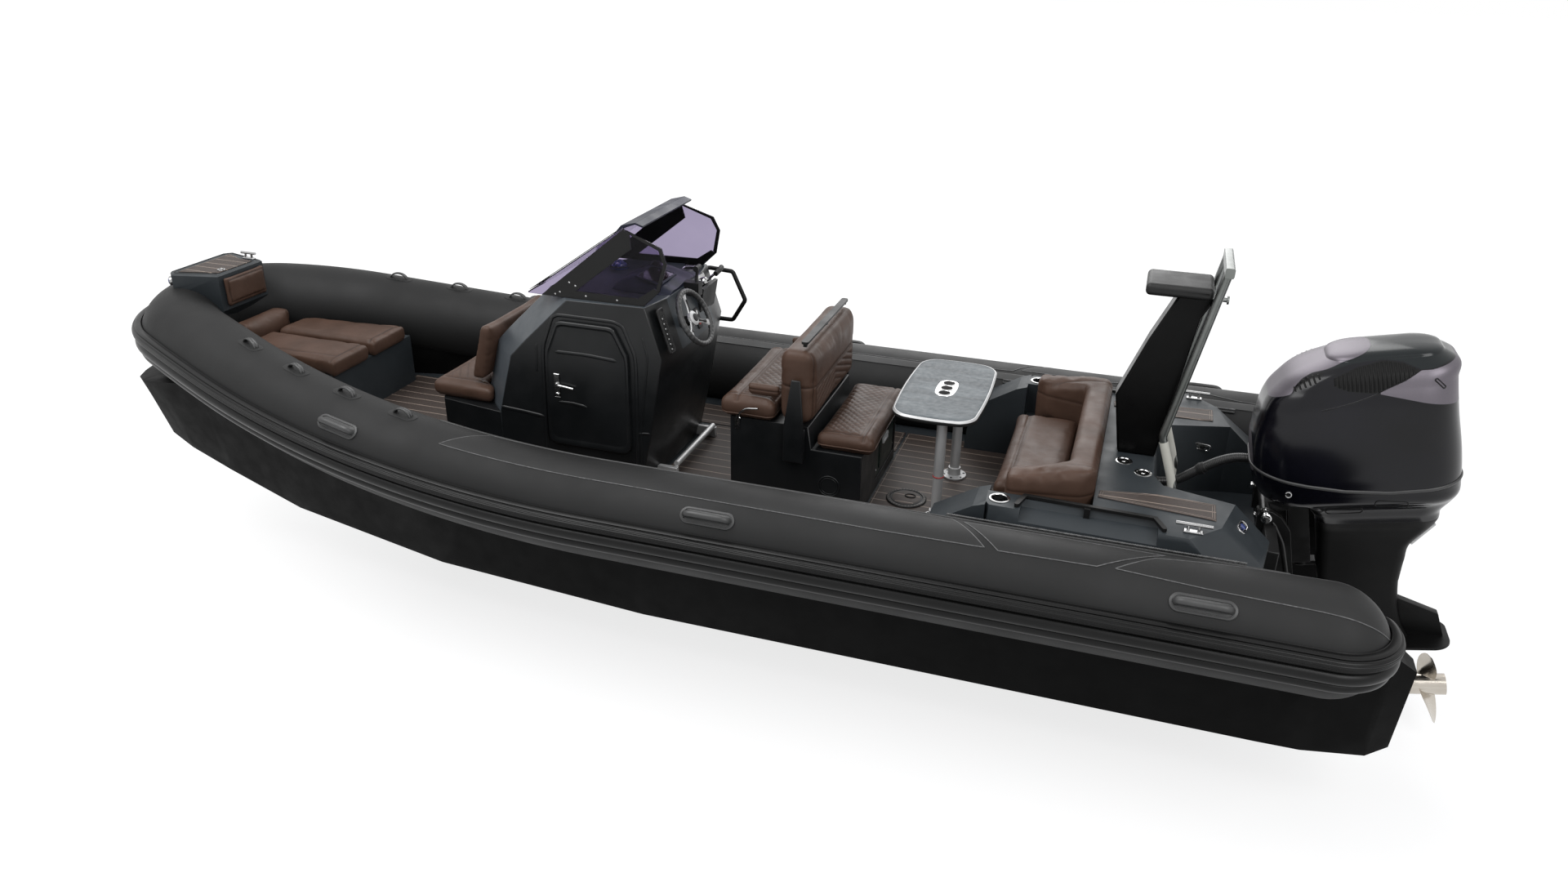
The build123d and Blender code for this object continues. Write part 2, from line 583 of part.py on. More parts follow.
LOCKER_PLAN = ((6745, 208), (7060, 288), (7112, 240), (7120, 0))
LOCKER_SIDE = ((6745, 1110), (6745, LOCKER_Z), (7130, LOCKER_Z), (7130, 1100), (6870, 1000))
locker = plan_prism(mirrored(LOCKER_PLAN[:3]), 1000, LOCKER_Z) & side_prism(LOCKER_SIDE, -300, 300)
locker = chamfer(locker.faces().sort_by(Axis.Z)[-1].edges(), 12)
save("bow_locker", locker - tubes - strakes)
save("bow_back_pad", cushion(6705, 6745 - GAP, -192, 192, 1135, 1345, 15))
light = Location((7091, 270, 1305), (0, 0, 47)) * Rot(0, 90, 0) * Cylinder(30, 16)
save("nav_light", light - locker, mirror(light - locker, Plane.XZ))

# ---------------------------------------------------------------- tube fittings
HANDLES = (389, 2769, 5075)             # x of each carrying handle
HANDLE_ANGLE = 42                       # how far each stands above the tube's widest line, in degrees
LOOPS = (4781, 5213, 5645, 6077)        # x of each webbing loop, on top of the tube


def tube_frame(x):
    """The tube's centre line at a station x: the point, its direction and the outboard side."""
    for edge in tube_path():
        a, b = edge @ 0, edge @ 1
        if a.X <= x <= b.X:
            low, high = 0.0, 1.0
            for _ in range(40):
                mid = (low + high) / 2
                if (edge @ mid).X < x:
                    low = mid
                else:
                    high = mid
            t = (edge % low).normalized()
            return edge @ low, t, Vector(-t.Y, t.X, 0).normalized()


def make_handle(x):
    """A moulded grip standing on an oval base, on the tube's outer face."""
    p, t, side = tube_frame(x)
    local = Plane(origin=p, x_dir=t, z_dir=side).location * Rot(HANDLE_ANGLE, 0, 0)
    base = Pos(0, 0, TUBE_R - 14) * extrude(RectangleRounded(295, 90, 44), 22)
    grip = rod([(-115, 0, TUBE_R), (-90, 0, TUBE_R + 45), (90, 0, TUBE_R + 45), (115, 0, TUBE_R)], 15, 20)
    return local * (base + grip)


def make_loop(x):
    """A rubber strap arched over a thin patch, on top of the tube."""
    p, t, side = tube_frame(x)
    local = Plane(origin=p, x_dir=t, z_dir=side).location * Rot(92, 0, 0)
    patch = Pos(0, 0, TUBE_R - 10) * extrude(RectangleRounded(190, 84, 36), 13)
    foot, z = TUBE_R - 6, TUBE_R
    out = [Vector(-65, 13, foot), Vector(0, 13, z + 42), Vector(65, 13, foot)]
    inner = [Vector(-56, 13, foot), Vector(0, 13, z + 35), Vector(56, 13, foot)]
    arch = make_face([ThreePointArc(*out), Line(out[2], inner[2]), ThreePointArc(*reversed(inner)), Line(inner[0], out[0])])
    return local * (patch + extrude(arch, amount=26, dir=(0, -1, 0)))


handles = [make_handle(x) - tubes - strakes for x in HANDLES]
save("tube_handles", *handles, *[mirror(h, Plane.XZ) for h in handles])
loops = [make_loop(x) - tubes - strakes for x in LOOPS]
save("tube_loops", *loops, *[mirror(h, Plane.XZ) for h in loops])

# ---------------------------------------------------------------- engine, built upright about its tilt tube
engine_place = Location((TILT_X, 0, TILT_Z), (0, TRIM, 0))
# rows of the cowl: z, front x, aft x, half width
COWL = ((200.3, 57, -911, 280), (311, 62, -909, 286), (519, 20, -894, 280), (690, -75, -890, 250),
        (775, -190, -893, 212), (826, -330, -820, 150))


def oval(z, front, aft, half):
    middle, length = (front + aft) / 2, front - aft
    return Pos(middle, 0, z) * RectangleRounded(length, 2 * half, min(half, length / 2) * 0.7)


cowl_out = loft([oval(*row) for row in COWL])
cowl_in = loft([oval(z - (1 if i == 0 else 6 if i == len(COWL) - 1 else 0), f - 8, a + 8, h - 8)
                for i, (z, f, a, h) in enumerate(COWL)])
save("engine_cowl", engine_place * (cowl_out - cowl_in))
STEER_R = 22            # steering shaft
LOWER_COWL = ((200, 57, -911, 280), (80, -10, -905, 250), (35, -150, -885, 200), (-99, -300, -774, 120))
MIDSECTION = ((-99, -248, -774, 105), (-229, -248, -693, 80), (-474, -246, -642, 66), (-640, -270, -640, 60),
              (-838, -330, -690, 45))
mid = loft([oval(*row) for row in MIDSECTION])
shaft = Pos(STEER_X, 0, -180) * Cylinder(STEER_R, 400)
yokes = (Pos(STEER_X, 0, 9) * Cylinder(42, 22) + Pos(STEER_X, 0, -370) * Cylinder(42, 24)
         + block(-330, STEER_X, -40, 40, -2, 20) + block(-300, STEER_X, -36, 36, -382, -358))
midsection = mid + shaft + yokes
save("engine_midsection", engine_place * midsection)
lower = loft([oval(*row) for row in LOWER_COWL])
save("engine_lower_cowl", engine_place * (lower - midsection))
save("engine_block", engine_place * block(-700, -60, -170, 170, 200, 600))
plate = Pos(-640, 0, -846) * extrude(RectangleRounded(480, 300, 90), 14)
gear = Pos(-560, 0, PROP_Z) * Rot(0, 90, 0) * Cylinder(62, 240)
strut = loft([Pos(x, 0, z) * Ellipse(a, b) for x, z, a, b in ((-510, -840, 180, 34), (-530, -990, 150, 26), (-550, PROP_Z, 130, 30))])
skeg = side_prism([(-430, PROP_Z), (-640, PROP_Z), (-640, PROP_Z - 230), (-560, PROP_Z - 230)], -8, 8)
splash = side_prism([(-560, -600), (-640, -600), (-831, -700), (-855, -840), (-560, -840)], -24, 24)
nose = Pos(-440, 0, PROP_Z) * Sphere(62)
gearcase = gear + strut + skeg + nose + plate + splash - midsection
SHAFT_R = 15            # propeller shaft
prop_shaft = Pos(-700, 0, PROP_Z) * Rot(0, 90, 0) * Cylinder(SHAFT_R, 300)
save("engine_gearcase", engine_place * (gearcase + prop_shaft))
PITCH = 430             # how far the propeller screws forward in a turn
# sections of a blade: radius, chord, thickness, sweep back along the chord
BLADE = ((46, 96, 14, 0), (90, 132, 11, 4), (135, 150, 8, 12), (175, 122, 6, 24), (PROP_R, 46, 3, 40))


def blade_section(r, chord, thick, sweep):
    """A cambered section across the blade at radius r, turned to the pitch there."""
    angle = atan2(PITCH, 2 * pi * r)

    def at(along, up):
        along = along + sweep
        return Vector(-along * sin(angle) + up * cos(angle), along * cos(angle) + up * sin(angle), r)
    lead, trail = at(-chord / 2, 0), at(chord / 2, 0)
    return make_face([ThreePointArc(lead, at(0, thick), trail), ThreePointArc(trail, at(0, chord * 0.02), lead)])


blade = loft([blade_section(*row) for row in BLADE])
wheel_hub = Rot(0, 90, 0) * (Cylinder(58, 185) - Pos(0, 0, -70) * (Cylinder(48, 60) - Cylinder(26, 60)))
propeller = wheel_hub
for k in range(3):
    propeller = propeller + Rot(120 * k, 0, 0) * blade
propeller = Pos(PROP_X, 0, PROP_Z) * propeller
propeller = propeller - Pos(-700, 0, PROP_Z) * Rot(0, 90, 0) * Cylinder(SHAFT_R + 0.05, 301)
save("propeller", engine_place * propeller)

TILT_R = 18             # tilt tube
CLAMP = ((TRANSOM_T, 640), (95, 640), (98, 770), (85, 794), (30, 796), (-20, 770), (-75, 700), (-150, 380),
         (-90, 300), (0, 290), (0, TRANSOM_Z), (TRANSOM_T, TRANSOM_Z))
clamp = side_prism(CLAMP, 150, 190)
tilt_tube = Pos(TILT_X, 0, TILT_Z) * Rot(90, 0, 0) * Cylinder(TILT_R, 420)
save("clamp_bracket", clamp + mirror(clamp, Plane.XZ) + tilt_tube)
barrel = Rot(90, 0, 0) * Cylinder(28, 290)
head = block(-215, -112, -60, 60, -352, -8) + block(-122, 0, -75, 75, -26, 24) + barrel
swivel = head - Rot(90, 0, 0) * Cylinder(TILT_R + 0.05, 400) - Pos(STEER_X, 0, -180) * Cylinder(STEER_R + 0.05, 500)
save("swivel_bracket", engine_place * swivel)

# ---------------------------------------------------------------- rigging hose from the well's wall to the engine
HOSE = ((680, -60, 757), (540, -60, 757), (425, -50, 862), (301, -40, 958), (200, -31, 993), (110, -20, 990))
HOSE_R = 26


def eased(points):
    """Straight runs joined by arcs, each as wide as the shorter run beside it allows."""
    p = [Vector(*q) for q in points]
    edges, start, radii = [], p[0], []
    for a, b, c in zip(p, p[1:], p[2:]):
        into, out = (b - a), (c - b)
        reach = 0.45 * min(into.length, out.length)
        turn = radians(into.get_angle(out))
        radii.append(round(reach / tan(turn / 2)))
        one, two = b - into.normalized() * reach, b + out.normalized() * reach
        edges += [Line(start, one), TangentArc(one, two, tangent=into)]
        start = two
    print("hose radii", radii)
    return edges + [Line(start, p[-1])]


hose = pipe(eased(HOSE), HOSE_R) - stern_moulding - engine_place * cowl_out
save("rigging_hose", hose)
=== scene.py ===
"""Looks of a rigid inflatable boat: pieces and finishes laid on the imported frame, in metres."""

import bmesh
import bpy
import numpy as np
from mathutils import Matrix, Vector


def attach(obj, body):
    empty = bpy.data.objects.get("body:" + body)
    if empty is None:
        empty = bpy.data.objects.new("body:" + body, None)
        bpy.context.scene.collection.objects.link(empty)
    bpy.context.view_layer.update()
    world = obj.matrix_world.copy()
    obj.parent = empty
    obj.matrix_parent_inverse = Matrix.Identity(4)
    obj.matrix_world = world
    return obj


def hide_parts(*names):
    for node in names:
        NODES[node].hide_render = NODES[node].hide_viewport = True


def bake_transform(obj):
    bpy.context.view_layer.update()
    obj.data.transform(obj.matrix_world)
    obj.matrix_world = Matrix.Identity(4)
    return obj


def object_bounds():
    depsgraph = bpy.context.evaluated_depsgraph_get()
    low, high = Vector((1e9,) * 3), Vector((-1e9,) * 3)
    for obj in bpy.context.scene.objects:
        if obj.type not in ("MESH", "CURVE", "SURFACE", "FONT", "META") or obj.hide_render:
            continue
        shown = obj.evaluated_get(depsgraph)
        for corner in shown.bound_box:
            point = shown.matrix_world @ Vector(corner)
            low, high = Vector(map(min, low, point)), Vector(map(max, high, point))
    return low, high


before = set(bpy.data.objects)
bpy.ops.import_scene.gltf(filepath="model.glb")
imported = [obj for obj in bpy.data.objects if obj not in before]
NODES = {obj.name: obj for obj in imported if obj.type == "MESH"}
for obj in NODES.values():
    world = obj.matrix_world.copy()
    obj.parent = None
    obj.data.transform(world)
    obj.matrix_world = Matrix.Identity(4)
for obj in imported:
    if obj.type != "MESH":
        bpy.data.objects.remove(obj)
cad_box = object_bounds()
TAU = 2 * np.pi
MM = 0.001


# ---------------------------------------------------------------- finishes
def shader(name, colour, rough=0.5, metal=0.0, **sockets):
    """A new material with its principled shader's sockets set to constants."""
    m = bpy.data.materials.new(name)
    m.use_nodes = True
    b = m.node_tree.nodes["Principled BSDF"]
    b.inputs["Base Color"].default_value = (*colour, 1)
    b.inputs["Roughness"].default_value = rough
    b.inputs["Metallic"].default_value = metal
    for key, value in sockets.items():
        b.inputs[key.replace("_", " ")].default_value = value
    return m, m.node_tree, b


def node(tree, kind, inputs=None, **props):
    """A new node with its properties set; each input is a constant or another node's output."""
    n = tree.nodes.new(kind)
    for key, value in props.items():
        setattr(n, key, value)
    for key, value in (inputs or {}).items():
        if isinstance(value, bpy.types.NodeSocket):
            tree.links.new(value, n.inputs[key])
        else:
            n.inputs[key].default_value = value
    return n


def own_coordinates(tree):
    return node(tree, "ShaderNodeTexCoord").outputs["Object"]


def texture(tree, kind, inputs, stretch, output):
    """A texture on the object's own coordinates, stretched along an axis where a finish has a grain."""
    turn = node(tree, "ShaderNodeMapping", {"Vector": own_coordinates(tree), "Scale": stretch})
    return node(tree, kind, {"Vector": turn.outputs["Vector"], **inputs}).outputs[output]


def noise(tree, scale, stretch=(1, 1, 1), detail=4.0):
    return texture(tree, "ShaderNodeTexNoise", {"Scale": scale, "Detail": detail}, stretch, "Fac")


def ramp(tree, value, stops):
    """A colour ramp through (place, colour or grey) stops."""
    r = node(tree, "ShaderNodeValToRGB", {"Fac": value})
    while len(r.color_ramp.elements) < len(stops):
        r.color_ramp.elements.new(0.5)
    for e, (place, c) in zip(r.color_ramp.elements, stops):
        e.position = place
        e.color = (*c, 1) if isinstance(c, tuple) else (c, c, c, 1)
    return r.outputs["Color"]


def relief(tree, b, heights):
    """Bump from several (height output, depth in metres) layers, one on the other."""
    below = {}
    for height, depth in heights:
        n = node(tree, "ShaderNodeBump", {"Strength": 1.0, "Distance": depth, "Height": height, **below})
        below = {"Normal": n.outputs["Normal"]}
    tree.links.new(below["Normal"], b.inputs["Normal"])


def pores(tree, scale):
    """Voronoi cells, for the pores of leather."""
    return texture(tree, "ShaderNodeTexVoronoi", {"Scale": scale}, (1, 1, 1), "Distance")


def mixed(tree, share, first, second):
    """The first colour where share is 0, and the second, a constant or an output, where it is 1."""
    return node(tree, "ShaderNodeMix", {"Factor": share, "A": first, "B": second}, data_type="RGBA").outputs["Result"]


def mixed_shader(tree, share, first, second, end):
    """Two shaders mixed by a share, joined to the surface of the tree's end node."""
    mix = node(tree, "ShaderNodeMixShader", {0: share, 1: first, 2: second})
    tree.links.new(mix.outputs[0], tree.nodes[end].inputs["Surface"])


def reckoned(tree, operation, a, b, **props):
    return node(tree, "ShaderNodeMath", {0: a, 1: b}, operation=operation, **props).outputs[0]


def worn(name, dark, light, rough, grain, depth, metal=0.0, stretch=(1, 1, 1), spread=3.0, **sockets):
    """A finish that drifts between two tones, with roughness drifting too and a fine grain."""
    m, t, b = shader(name, light, rough[1], metal, **sockets)
    drift = noise(t, spread, detail=6.0)
    t.links.new(ramp(t, drift, ((0.3, dark), (0.7, light))), b.inputs["Base Color"])
    t.links.new(ramp(t, noise(t, spread * 3, stretch), ((0.3, rough[0]), (0.7, rough[1]))), b.inputs["Roughness"])
    relief(t, b, [(noise(t, grain, stretch), depth)])
    return m


def grey(v):
    return v, v, v


tube_cloth = worn("coated tube cloth", grey(0.009), grey(0.014), (0.54, 0.64), 900, 0.0003, spread=1.2,
                  Specular_IOR_Level=0.22)
patch_cloth = worn("patch cloth", grey(0.011), grey(0.016), (0.5, 0.6), 900, 0.0003, spread=1.5,
                   Specular_IOR_Level=0.24)
# pale: the patches' real seam line, and on the upper stern welt a painted highlight
pale_seam_and_highlight = worn("pale seam and painted highlight", grey(0.04), grey(0.11), (0.5, 0.6), 600, 0.0002, spread=60)
strake_rubber = worn("strake rubber", grey(0.002), grey(0.005), (0.28, 0.38), 500, 0.0002, spread=2.0,
                     Specular_IOR_Level=0.22)
ribbed_rubber = worn("ribbed step rubber", grey(0.02), grey(0.035), (0.45, 0.6), 500, 0.0003)
fitting_rubber = worn("fitting rubber", grey(0.022), grey(0.04), (0.35, 0.5), 400, 0.0002)
hull_gloss = worn("black hull gelcoat", grey(0.0012), grey(0.002), (0.5, 0.62), 30, 0.0003, Specular_IOR_Level=0.06)
moulding_gelcoat = worn("anthracite gelcoat", (0.018, 0.022, 0.025), (0.026, 0.031, 0.035), (0.4, 0.55), 60, 0.0002,
                        Specular_IOR_Level=0.3)
console_gelcoat = worn("console gelcoat", (0.004, 0.0045, 0.005), (0.007, 0.0078, 0.0085), (0.3, 0.42), 60, 0.0002,
                       Specular_IOR_Level=0.35)
# lighter grey-blue: the front corner facets' own tone, and on the console's up-facing faces a painted highlight of the
# light from above
facet_and_lit_top_gelcoat = worn("grey facet gelcoat", (0.032, 0.039, 0.045), (0.045, 0.053, 0.061), (0.35, 0.5), 60, 0.0002,
                     Specular_IOR_Level=0.4)
black_moulding = worn("black moulded plastic", grey(0.005), grey(0.009), (0.45, 0.6), 700, 0.0003,
                      Specular_IOR_Level=0.35)
powder_coat = worn("black powder coat", grey(0.002), grey(0.004), (0.4, 0.5), 1200, 0.0002, Specular_IOR_Level=0.25)
fin_gloss = worn("gloss fin paint", grey(0.001), grey(0.002), (0.25, 0.35), 20, 0.0002, Specular_IOR_Level=0.12)
polished = worn("polished stainless", grey(0.34), grey(0.5), (0.1, 0.22), 300, 0.00005, metal=1.0, spread=6)
frame_steel = worn("pylon steel", (0.14, 0.15, 0.14), (0.26, 0.27, 0.265), (0.28, 0.38), 60, 0.00001, metal=1.0)
cream_paint = worn("cream leg paint", (0.5, 0.49, 0.43), (0.66, 0.65, 0.6), (0.35, 0.5), 80, 0.0003)
anodised = worn("brushed aluminium", grey(0.42), grey(0.56), (0.42, 0.55), 500, 0.00005, metal=0.6, stretch=(30, 30, 1))
prop_steel = worn("propeller steel", (0.42, 0.38, 0.33), (0.6, 0.56, 0.5), (0.12, 0.3), 120, 0.0002, metal=1.0)
cowl_black = worn("gloss cowl paint", (0.0015, 0.0015, 0.0022), (0.003, 0.003, 0.0045), (0.16, 0.24), 20, 0.0001,
                  Specular_IOR_Level=0.3)
leg_black = worn("satin leg paint", grey(0.0015), grey(0.003), (0.4, 0.5), 300, 0.0002, Specular_IOR_Level=0.15)
bracket_black = worn("bracket paint", grey(0.004), grey(0.009), (0.28, 0.42), 500, 0.0004)
red_ring = worn("red ring", (0.25, 0.01, 0.01), (0.4, 0.02, 0.015), (0.4, 0.5), 300, 0.0001)
white_dot = worn("white mark", grey(0.6), grey(0.75), (0.4, 0.5), 300, 0.0001)
hood_blue = worn("dark blue hood", (0.01, 0.011, 0.02), (0.02, 0.023, 0.04), (0.35, 0.48), 80, 0.0001,
                 Specular_IOR_Level=0.15)
screen_black = worn("switched-off display", (0.004, 0.003, 0.004), (0.02, 0.012, 0.014), (0.08, 0.14), 10, 0.00005,
                    spread=20)
# matt near-black discs laid over cup holes: painted shade of the hollows
painted_well_shade = worn("dark cup well", grey(0.002), grey(0.004), (0.6, 0.75), 60, 0.0001, Specular_IOR_Level=0.1)
fridge_skin = worn("fridge skin", (0.006, 0.012, 0.01), (0.014, 0.026, 0.022), (0.3, 0.42), 200, 0.0002)
light_lens = worn("blue lens", (0.02, 0.03, 0.12), (0.05, 0.08, 0.25), (0.06, 0.12), 60, 0.0001, Coat_Weight=1.0)


def make_vinyl():
    """Brown marine vinyl: pores, tone drift, and a darker line where the seam attribute is high."""
    m, t, b = shader("brown marine vinyl", (0.07, 0.04, 0.026), 0.5, 0, Specular_IOR_Level=0.2)
    tone = ramp(t, noise(t, 5, detail=6.0), ((0.3, (0.05, 0.028, 0.019)), (0.72, (0.078, 0.044, 0.031))))
    seam = node(t, "ShaderNodeAttribute", attribute_name="seam").outputs["Fac"]
    t.links.new(mixed(t, seam, tone, (0.018, 0.009, 0.006, 1)), b.inputs["Base Color"])
    t.links.new(ramp(t, noise(t, 12), ((0.3, 0.38), (0.7, 0.54))), b.inputs["Roughness"])
    relief(t, b, [(pores(t, 420), 0.0003), (noise(t, 30, detail=2.0), 0.0006)])
    return m


PLANK = 0.09


def make_planking():
    """Dark brown foam planks of width PLANK lying along X, with pale caulking lines and a brushed grain."""
    m, t, b = shader("brown planking", (0.03, 0.02, 0.016), 0.6)
    y = node(t, "ShaderNodeSeparateXYZ", {0: own_coordinates(t)}).outputs["Y"]
    caulking = ramp(t, reckoned(t, "PINGPONG", y, PLANK / 2), ((0.0, 1.0), (0.003, 1.0), (0.004, 0.0)))
    grain = ramp(t, noise(t, 60, (1, 12, 12), 8.0), ((0.3, (0.016, 0.011, 0.009)), (0.7, (0.05, 0.034, 0.027))))
    t.links.new(mixed(t, caulking, grain, (0.34, 0.27, 0.22, 1)), b.inputs["Base Color"])
    relief(t, b, [(noise(t, 300, (1, 10, 10)), 0.0004), (caulking, 0.0006)])
    return m


def make_table_top():
    """Grey-blue marbled board under clear coat: noise stretched along X."""
    m, t, b = shader("marbled table board", (0.06, 0.08, 0.09), 0.4, 0, Specular_IOR_Level=0.25)
    tone = ramp(t, noise(t, 5, (0.6, 3, 1), 10.0), ((0.25, (0.02, 0.027, 0.033)), (0.5, (0.05, 0.062, 0.07)),
                                                   (0.8, (0.11, 0.13, 0.14))))
    t.links.new(tone, b.inputs["Base Color"])
    t.links.new(ramp(t, noise(t, 40), ((0.3, 0.35), (0.7, 0.5))), b.inputs["Roughness"])
    relief(t, b, [(noise(t, 60, (1, 4, 1)), 0.0002)])
    return m


def make_smoked_acrylic():
    """Violet smoked sheet that keeps light going through, with faint haze in its roughness."""
    m, t, b = shader("smoked violet acrylic", (0.31, 0.275, 0.39), 0.04, 0, IOR=1.2, Transmission_Weight=1.0)
    t.links.new(ramp(t, noise(t, 4), ((0.3, 0.02), (0.7, 0.07))), b.inputs["Roughness"])
    t.links.new(ramp(t, noise(t, 2), ((0.3, (0.29, 0.255, 0.365)), (0.7, (0.34, 0.3, 0.42)))), b.inputs["Base Color"])
    return m


def make_cowl_skin():
    """Gloss black, mauve-silver trim, dark teal hood, and a near-black painted shade in the louvre fields where the
    hollow behind the slats would be, each where its attribute is above a half.
    """
    m, t, b = shader("cowl paint and trim", (0.002, 0.002, 0.003), 0.18, 0, Specular_IOR_Level=0.3)
    mark = {key: ramp(t, node(t, "ShaderNodeAttribute", attribute_name=key).outputs["Fac"], ((0.48, 0.0), (0.52, 1.0)))
            for key in ("trim", "hood", "louvre")}
    flake = ramp(t, noise(t, 900), ((0.3, (0.1, 0.09, 0.105)), (0.7, (0.17, 0.155, 0.175))))
    black = ramp(t, noise(t, 3), ((0.3, (0.0015, 0.0015, 0.0025)), (0.7, (0.004, 0.004, 0.007))))
    tone = mixed(t, mark["trim"], black, flake)
    tone = mixed(t, mark["hood"], tone, (0.006, 0.0085, 0.0095, 1))
    # the louvre field's near-black is painted shade, standing in for the hollow behind the slats
    tone = mixed(t, mark["louvre"], tone, (0.0008, 0.0008, 0.0008, 1))
    t.links.new(tone, b.inputs["Base Color"])
    painted = reckoned(t, "SUBTRACT", mark["trim"], mark["louvre"], use_clamp=True)
    t.links.new(reckoned(t, "MULTIPLY", painted, 0.75), b.inputs["Metallic"])
    t.links.new(ramp(t, mark["trim"], ((0.0, 0.18), (1.0, 0.42))), b.inputs["Roughness"])
    return m


vinyl = make_vinyl()
planking = make_planking()
table_board = make_table_top()
acrylic = make_smoked_acrylic()
cowl_skin = make_cowl_skin()


# ---------------------------------------------------------------- building surfaces
def placed(name, data):
    """A new object in the scene."""
    obj = bpy.data.objects.new(name, data)
    bpy.context.scene.collection.objects.link(obj)
    return obj


def piece(name, points, faces, material, body="root", slot=None, replaces=()):
    """One object from points (n, 3) and a list or array of faces, riding on a body."""
    mesh = bpy.data.meshes.new(name)
    mesh.from_pydata(np.asarray(points, float).tolist(), [], [list(map(int, f)) for f in faces])
    mesh.validate()
    mesh.shade_smooth()
    return settle(placed(name, mesh), material, body, slot, replaces)


def settle(obj, material, body, slot=None, replaces=()):
    """Gives a finished object its material and body; its record slot is not used."""
    obj.data.materials.clear()
    obj.data.materials.append(material)
    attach(obj, body)
    if replaces:
        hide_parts(*replaces)
    return obj


def cleaned(mesh, merge=None, flatten=None):
    """Merges points nearer than merge, melts faces within flatten degrees of flat, and turns the normals outward."""
    bm = bmesh.new()
    bm.from_mesh(mesh)
    if merge:
        bmesh.ops.remove_doubles(bm, verts=bm.verts, dist=merge)
    if flatten:
        bmesh.ops.dissolve_limit(bm, angle_limit=np.radians(flatten), verts=bm.verts, edges=bm.edges)
    bmesh.ops.recalc_face_normals(bm, faces=bm.faces)
    bm.to_mesh(mesh)
    bm.free()


def outward(obj, angle=None):
    """Turns the normals outward and, where an angle is given, keeps edges over it sharp."""
    cleaned(obj.data, 1e-6)
    if angle:
        obj.data.set_sharp_from_angle(angle=np.radians(angle))
    return obj


def unit(v):
    return np.asarray(v, float) / np.linalg.norm(v)


def units(v):
    """Each row of v, made one long."""
    return v / np.linalg.norm(v, axis=1, keepdims=True)


def grid_faces(rows, cols, caps=True):
    """Quads of a (rows, cols) grid of points, wrapped round its columns, with its ends closed."""
    r, c = np.meshgrid(np.arange(rows - 1), np.arange(cols), indexing="ij")
    a, b = r * cols + c, r * cols + (c + 1) % cols
    faces = np.stack([a, b, b + cols, a + cols], -1).reshape(-1, 4).tolist()
    if caps:
        faces += [list(range(cols))[::-1], list(range((rows - 1) * cols, rows * cols))]
    return faces


def grid(name, points, material, body="root", caps=True, angle=40, **more):
    """A surface over a grid of points (rows, cols, 3)."""
    faces = grid_faces(*points.shape[:2], caps)
    return outward(piece(name, points.reshape(-1, 3), faces, material, body, **more), angle)


def closed_grid(name, points, material, body="root", **more):
    """A surface over a grid of points (rows, cols, 3) that closes on itself both ways."""
    rows, cols = points.shape[:2]
    i, j = np.meshgrid(np.arange(rows), np.arange(cols), indexing="ij")
    i2, j2 = (i + 1) % rows, (j + 1) % cols
    faces = np.stack([i * cols + j, i * cols + j2, i2 * cols + j2, i2 * cols + j], -1).reshape(-1, 4)
    return outward(piece(name, points.reshape(-1, 3), faces, material, body, **more))


def slab(name, outline, lift, material, body="root", bevel=0.002, **more):
    """A plate: its outline (n, 3) carried along the vector lift, with its rims turned in by the bevel."""
    p, lift = np.asarray(outline, float), np.asarray(lift, float)
    n = unit(lift)
    inward = units(p.mean(0) - p) * bevel
    rows = [p + inward, p + n * bevel, p + lift - n * bevel, p + lift + inward]
    return grid(name, np.stack(rows), material, body, angle=30, **more)


def ring_of(n=48):
    a = np.linspace(0, TAU, n, endpoint=False)
    return np.cos(a), np.sin(a)


def turned(name, profile, place, axis, material, body="root", n=40, **more):
    """(radius, height) points turned about an axis through a place; a profile that ends off the axis makes a ring."""
    axis = unit(axis)
    side = unit(np.cross(axis, (0, 0, 1) if abs(axis[2]) < 0.9 else (1, 0, 0)))
    c, s = ring_of(n)
    spoke = c[:, None] * side + s[:, None] * np.cross(axis, side)
    prof = np.asarray(profile, float)
    hollow = min(prof[0, 0], prof[-1, 0]) > 0.003
    prof = np.vstack([prof, prof[:1]]) if hollow else prof
    pts = np.asarray(place) + prof[:, 0, None, None] * spoke + (prof[:, 1, None] * axis)[:, None, :]
    return grid(name, pts, material, body, angle=35, caps=not hollow, **more)


def frames(path):
    """Unit sides and ups along a path of points (n, 3), the sides kept level."""
    t = units(np.gradient(path, axis=0))
    side = np.stack([-t[:, 1], t[:, 0], np.zeros(len(t))], -1)
    size = np.linalg.norm(side, axis=1, keepdims=True)
    side = np.where(size > 1e-6, side / np.maximum(size, 1e-6), (0, 1, 0))
    return side, np.cross(t, side)


def carried(path, profile, scale=None):
    """A profile (m, 2) of side and up offsets carried along a path: a grid of points."""
    side, up = frames(path)
    s = np.ones(len(path)) if scale is None else scale
    prof = np.asarray(profile)
    return (path[:, None] + s[:, None, None] * (prof[None, :, 0, None] * side[:, None]
                                                 + prof[None, :, 1, None] * up[:, None]))


def eased(points, fine, ease):
    """A path through points whose corners are eased by quadratic curves over a share of each leg."""
    p = np.asarray(points, float)
    t = np.linspace(0, 1, fine)[:, None]
    run = [p[:1]]
    for a, b, c in zip(p, p[1:], p[2:]):
        a2, c2 = b + (a - b) * ease, b + (c - b) * ease
        run.append((1 - t) ** 2 * a2 + 2 * t * (1 - t) * b + t ** 2 * c2)
    run.append(p[-1:])
    return np.concatenate(run)


def round_bar(name, points, r, material, body="root", n=16, fine=8, **more):
    """A round bar along an eased path through points."""
    c, s = ring_of(n)
    return grid(name, carried(eased(points, fine, 0.3), np.stack([c * r, s * r], -1)), material, body, **more)


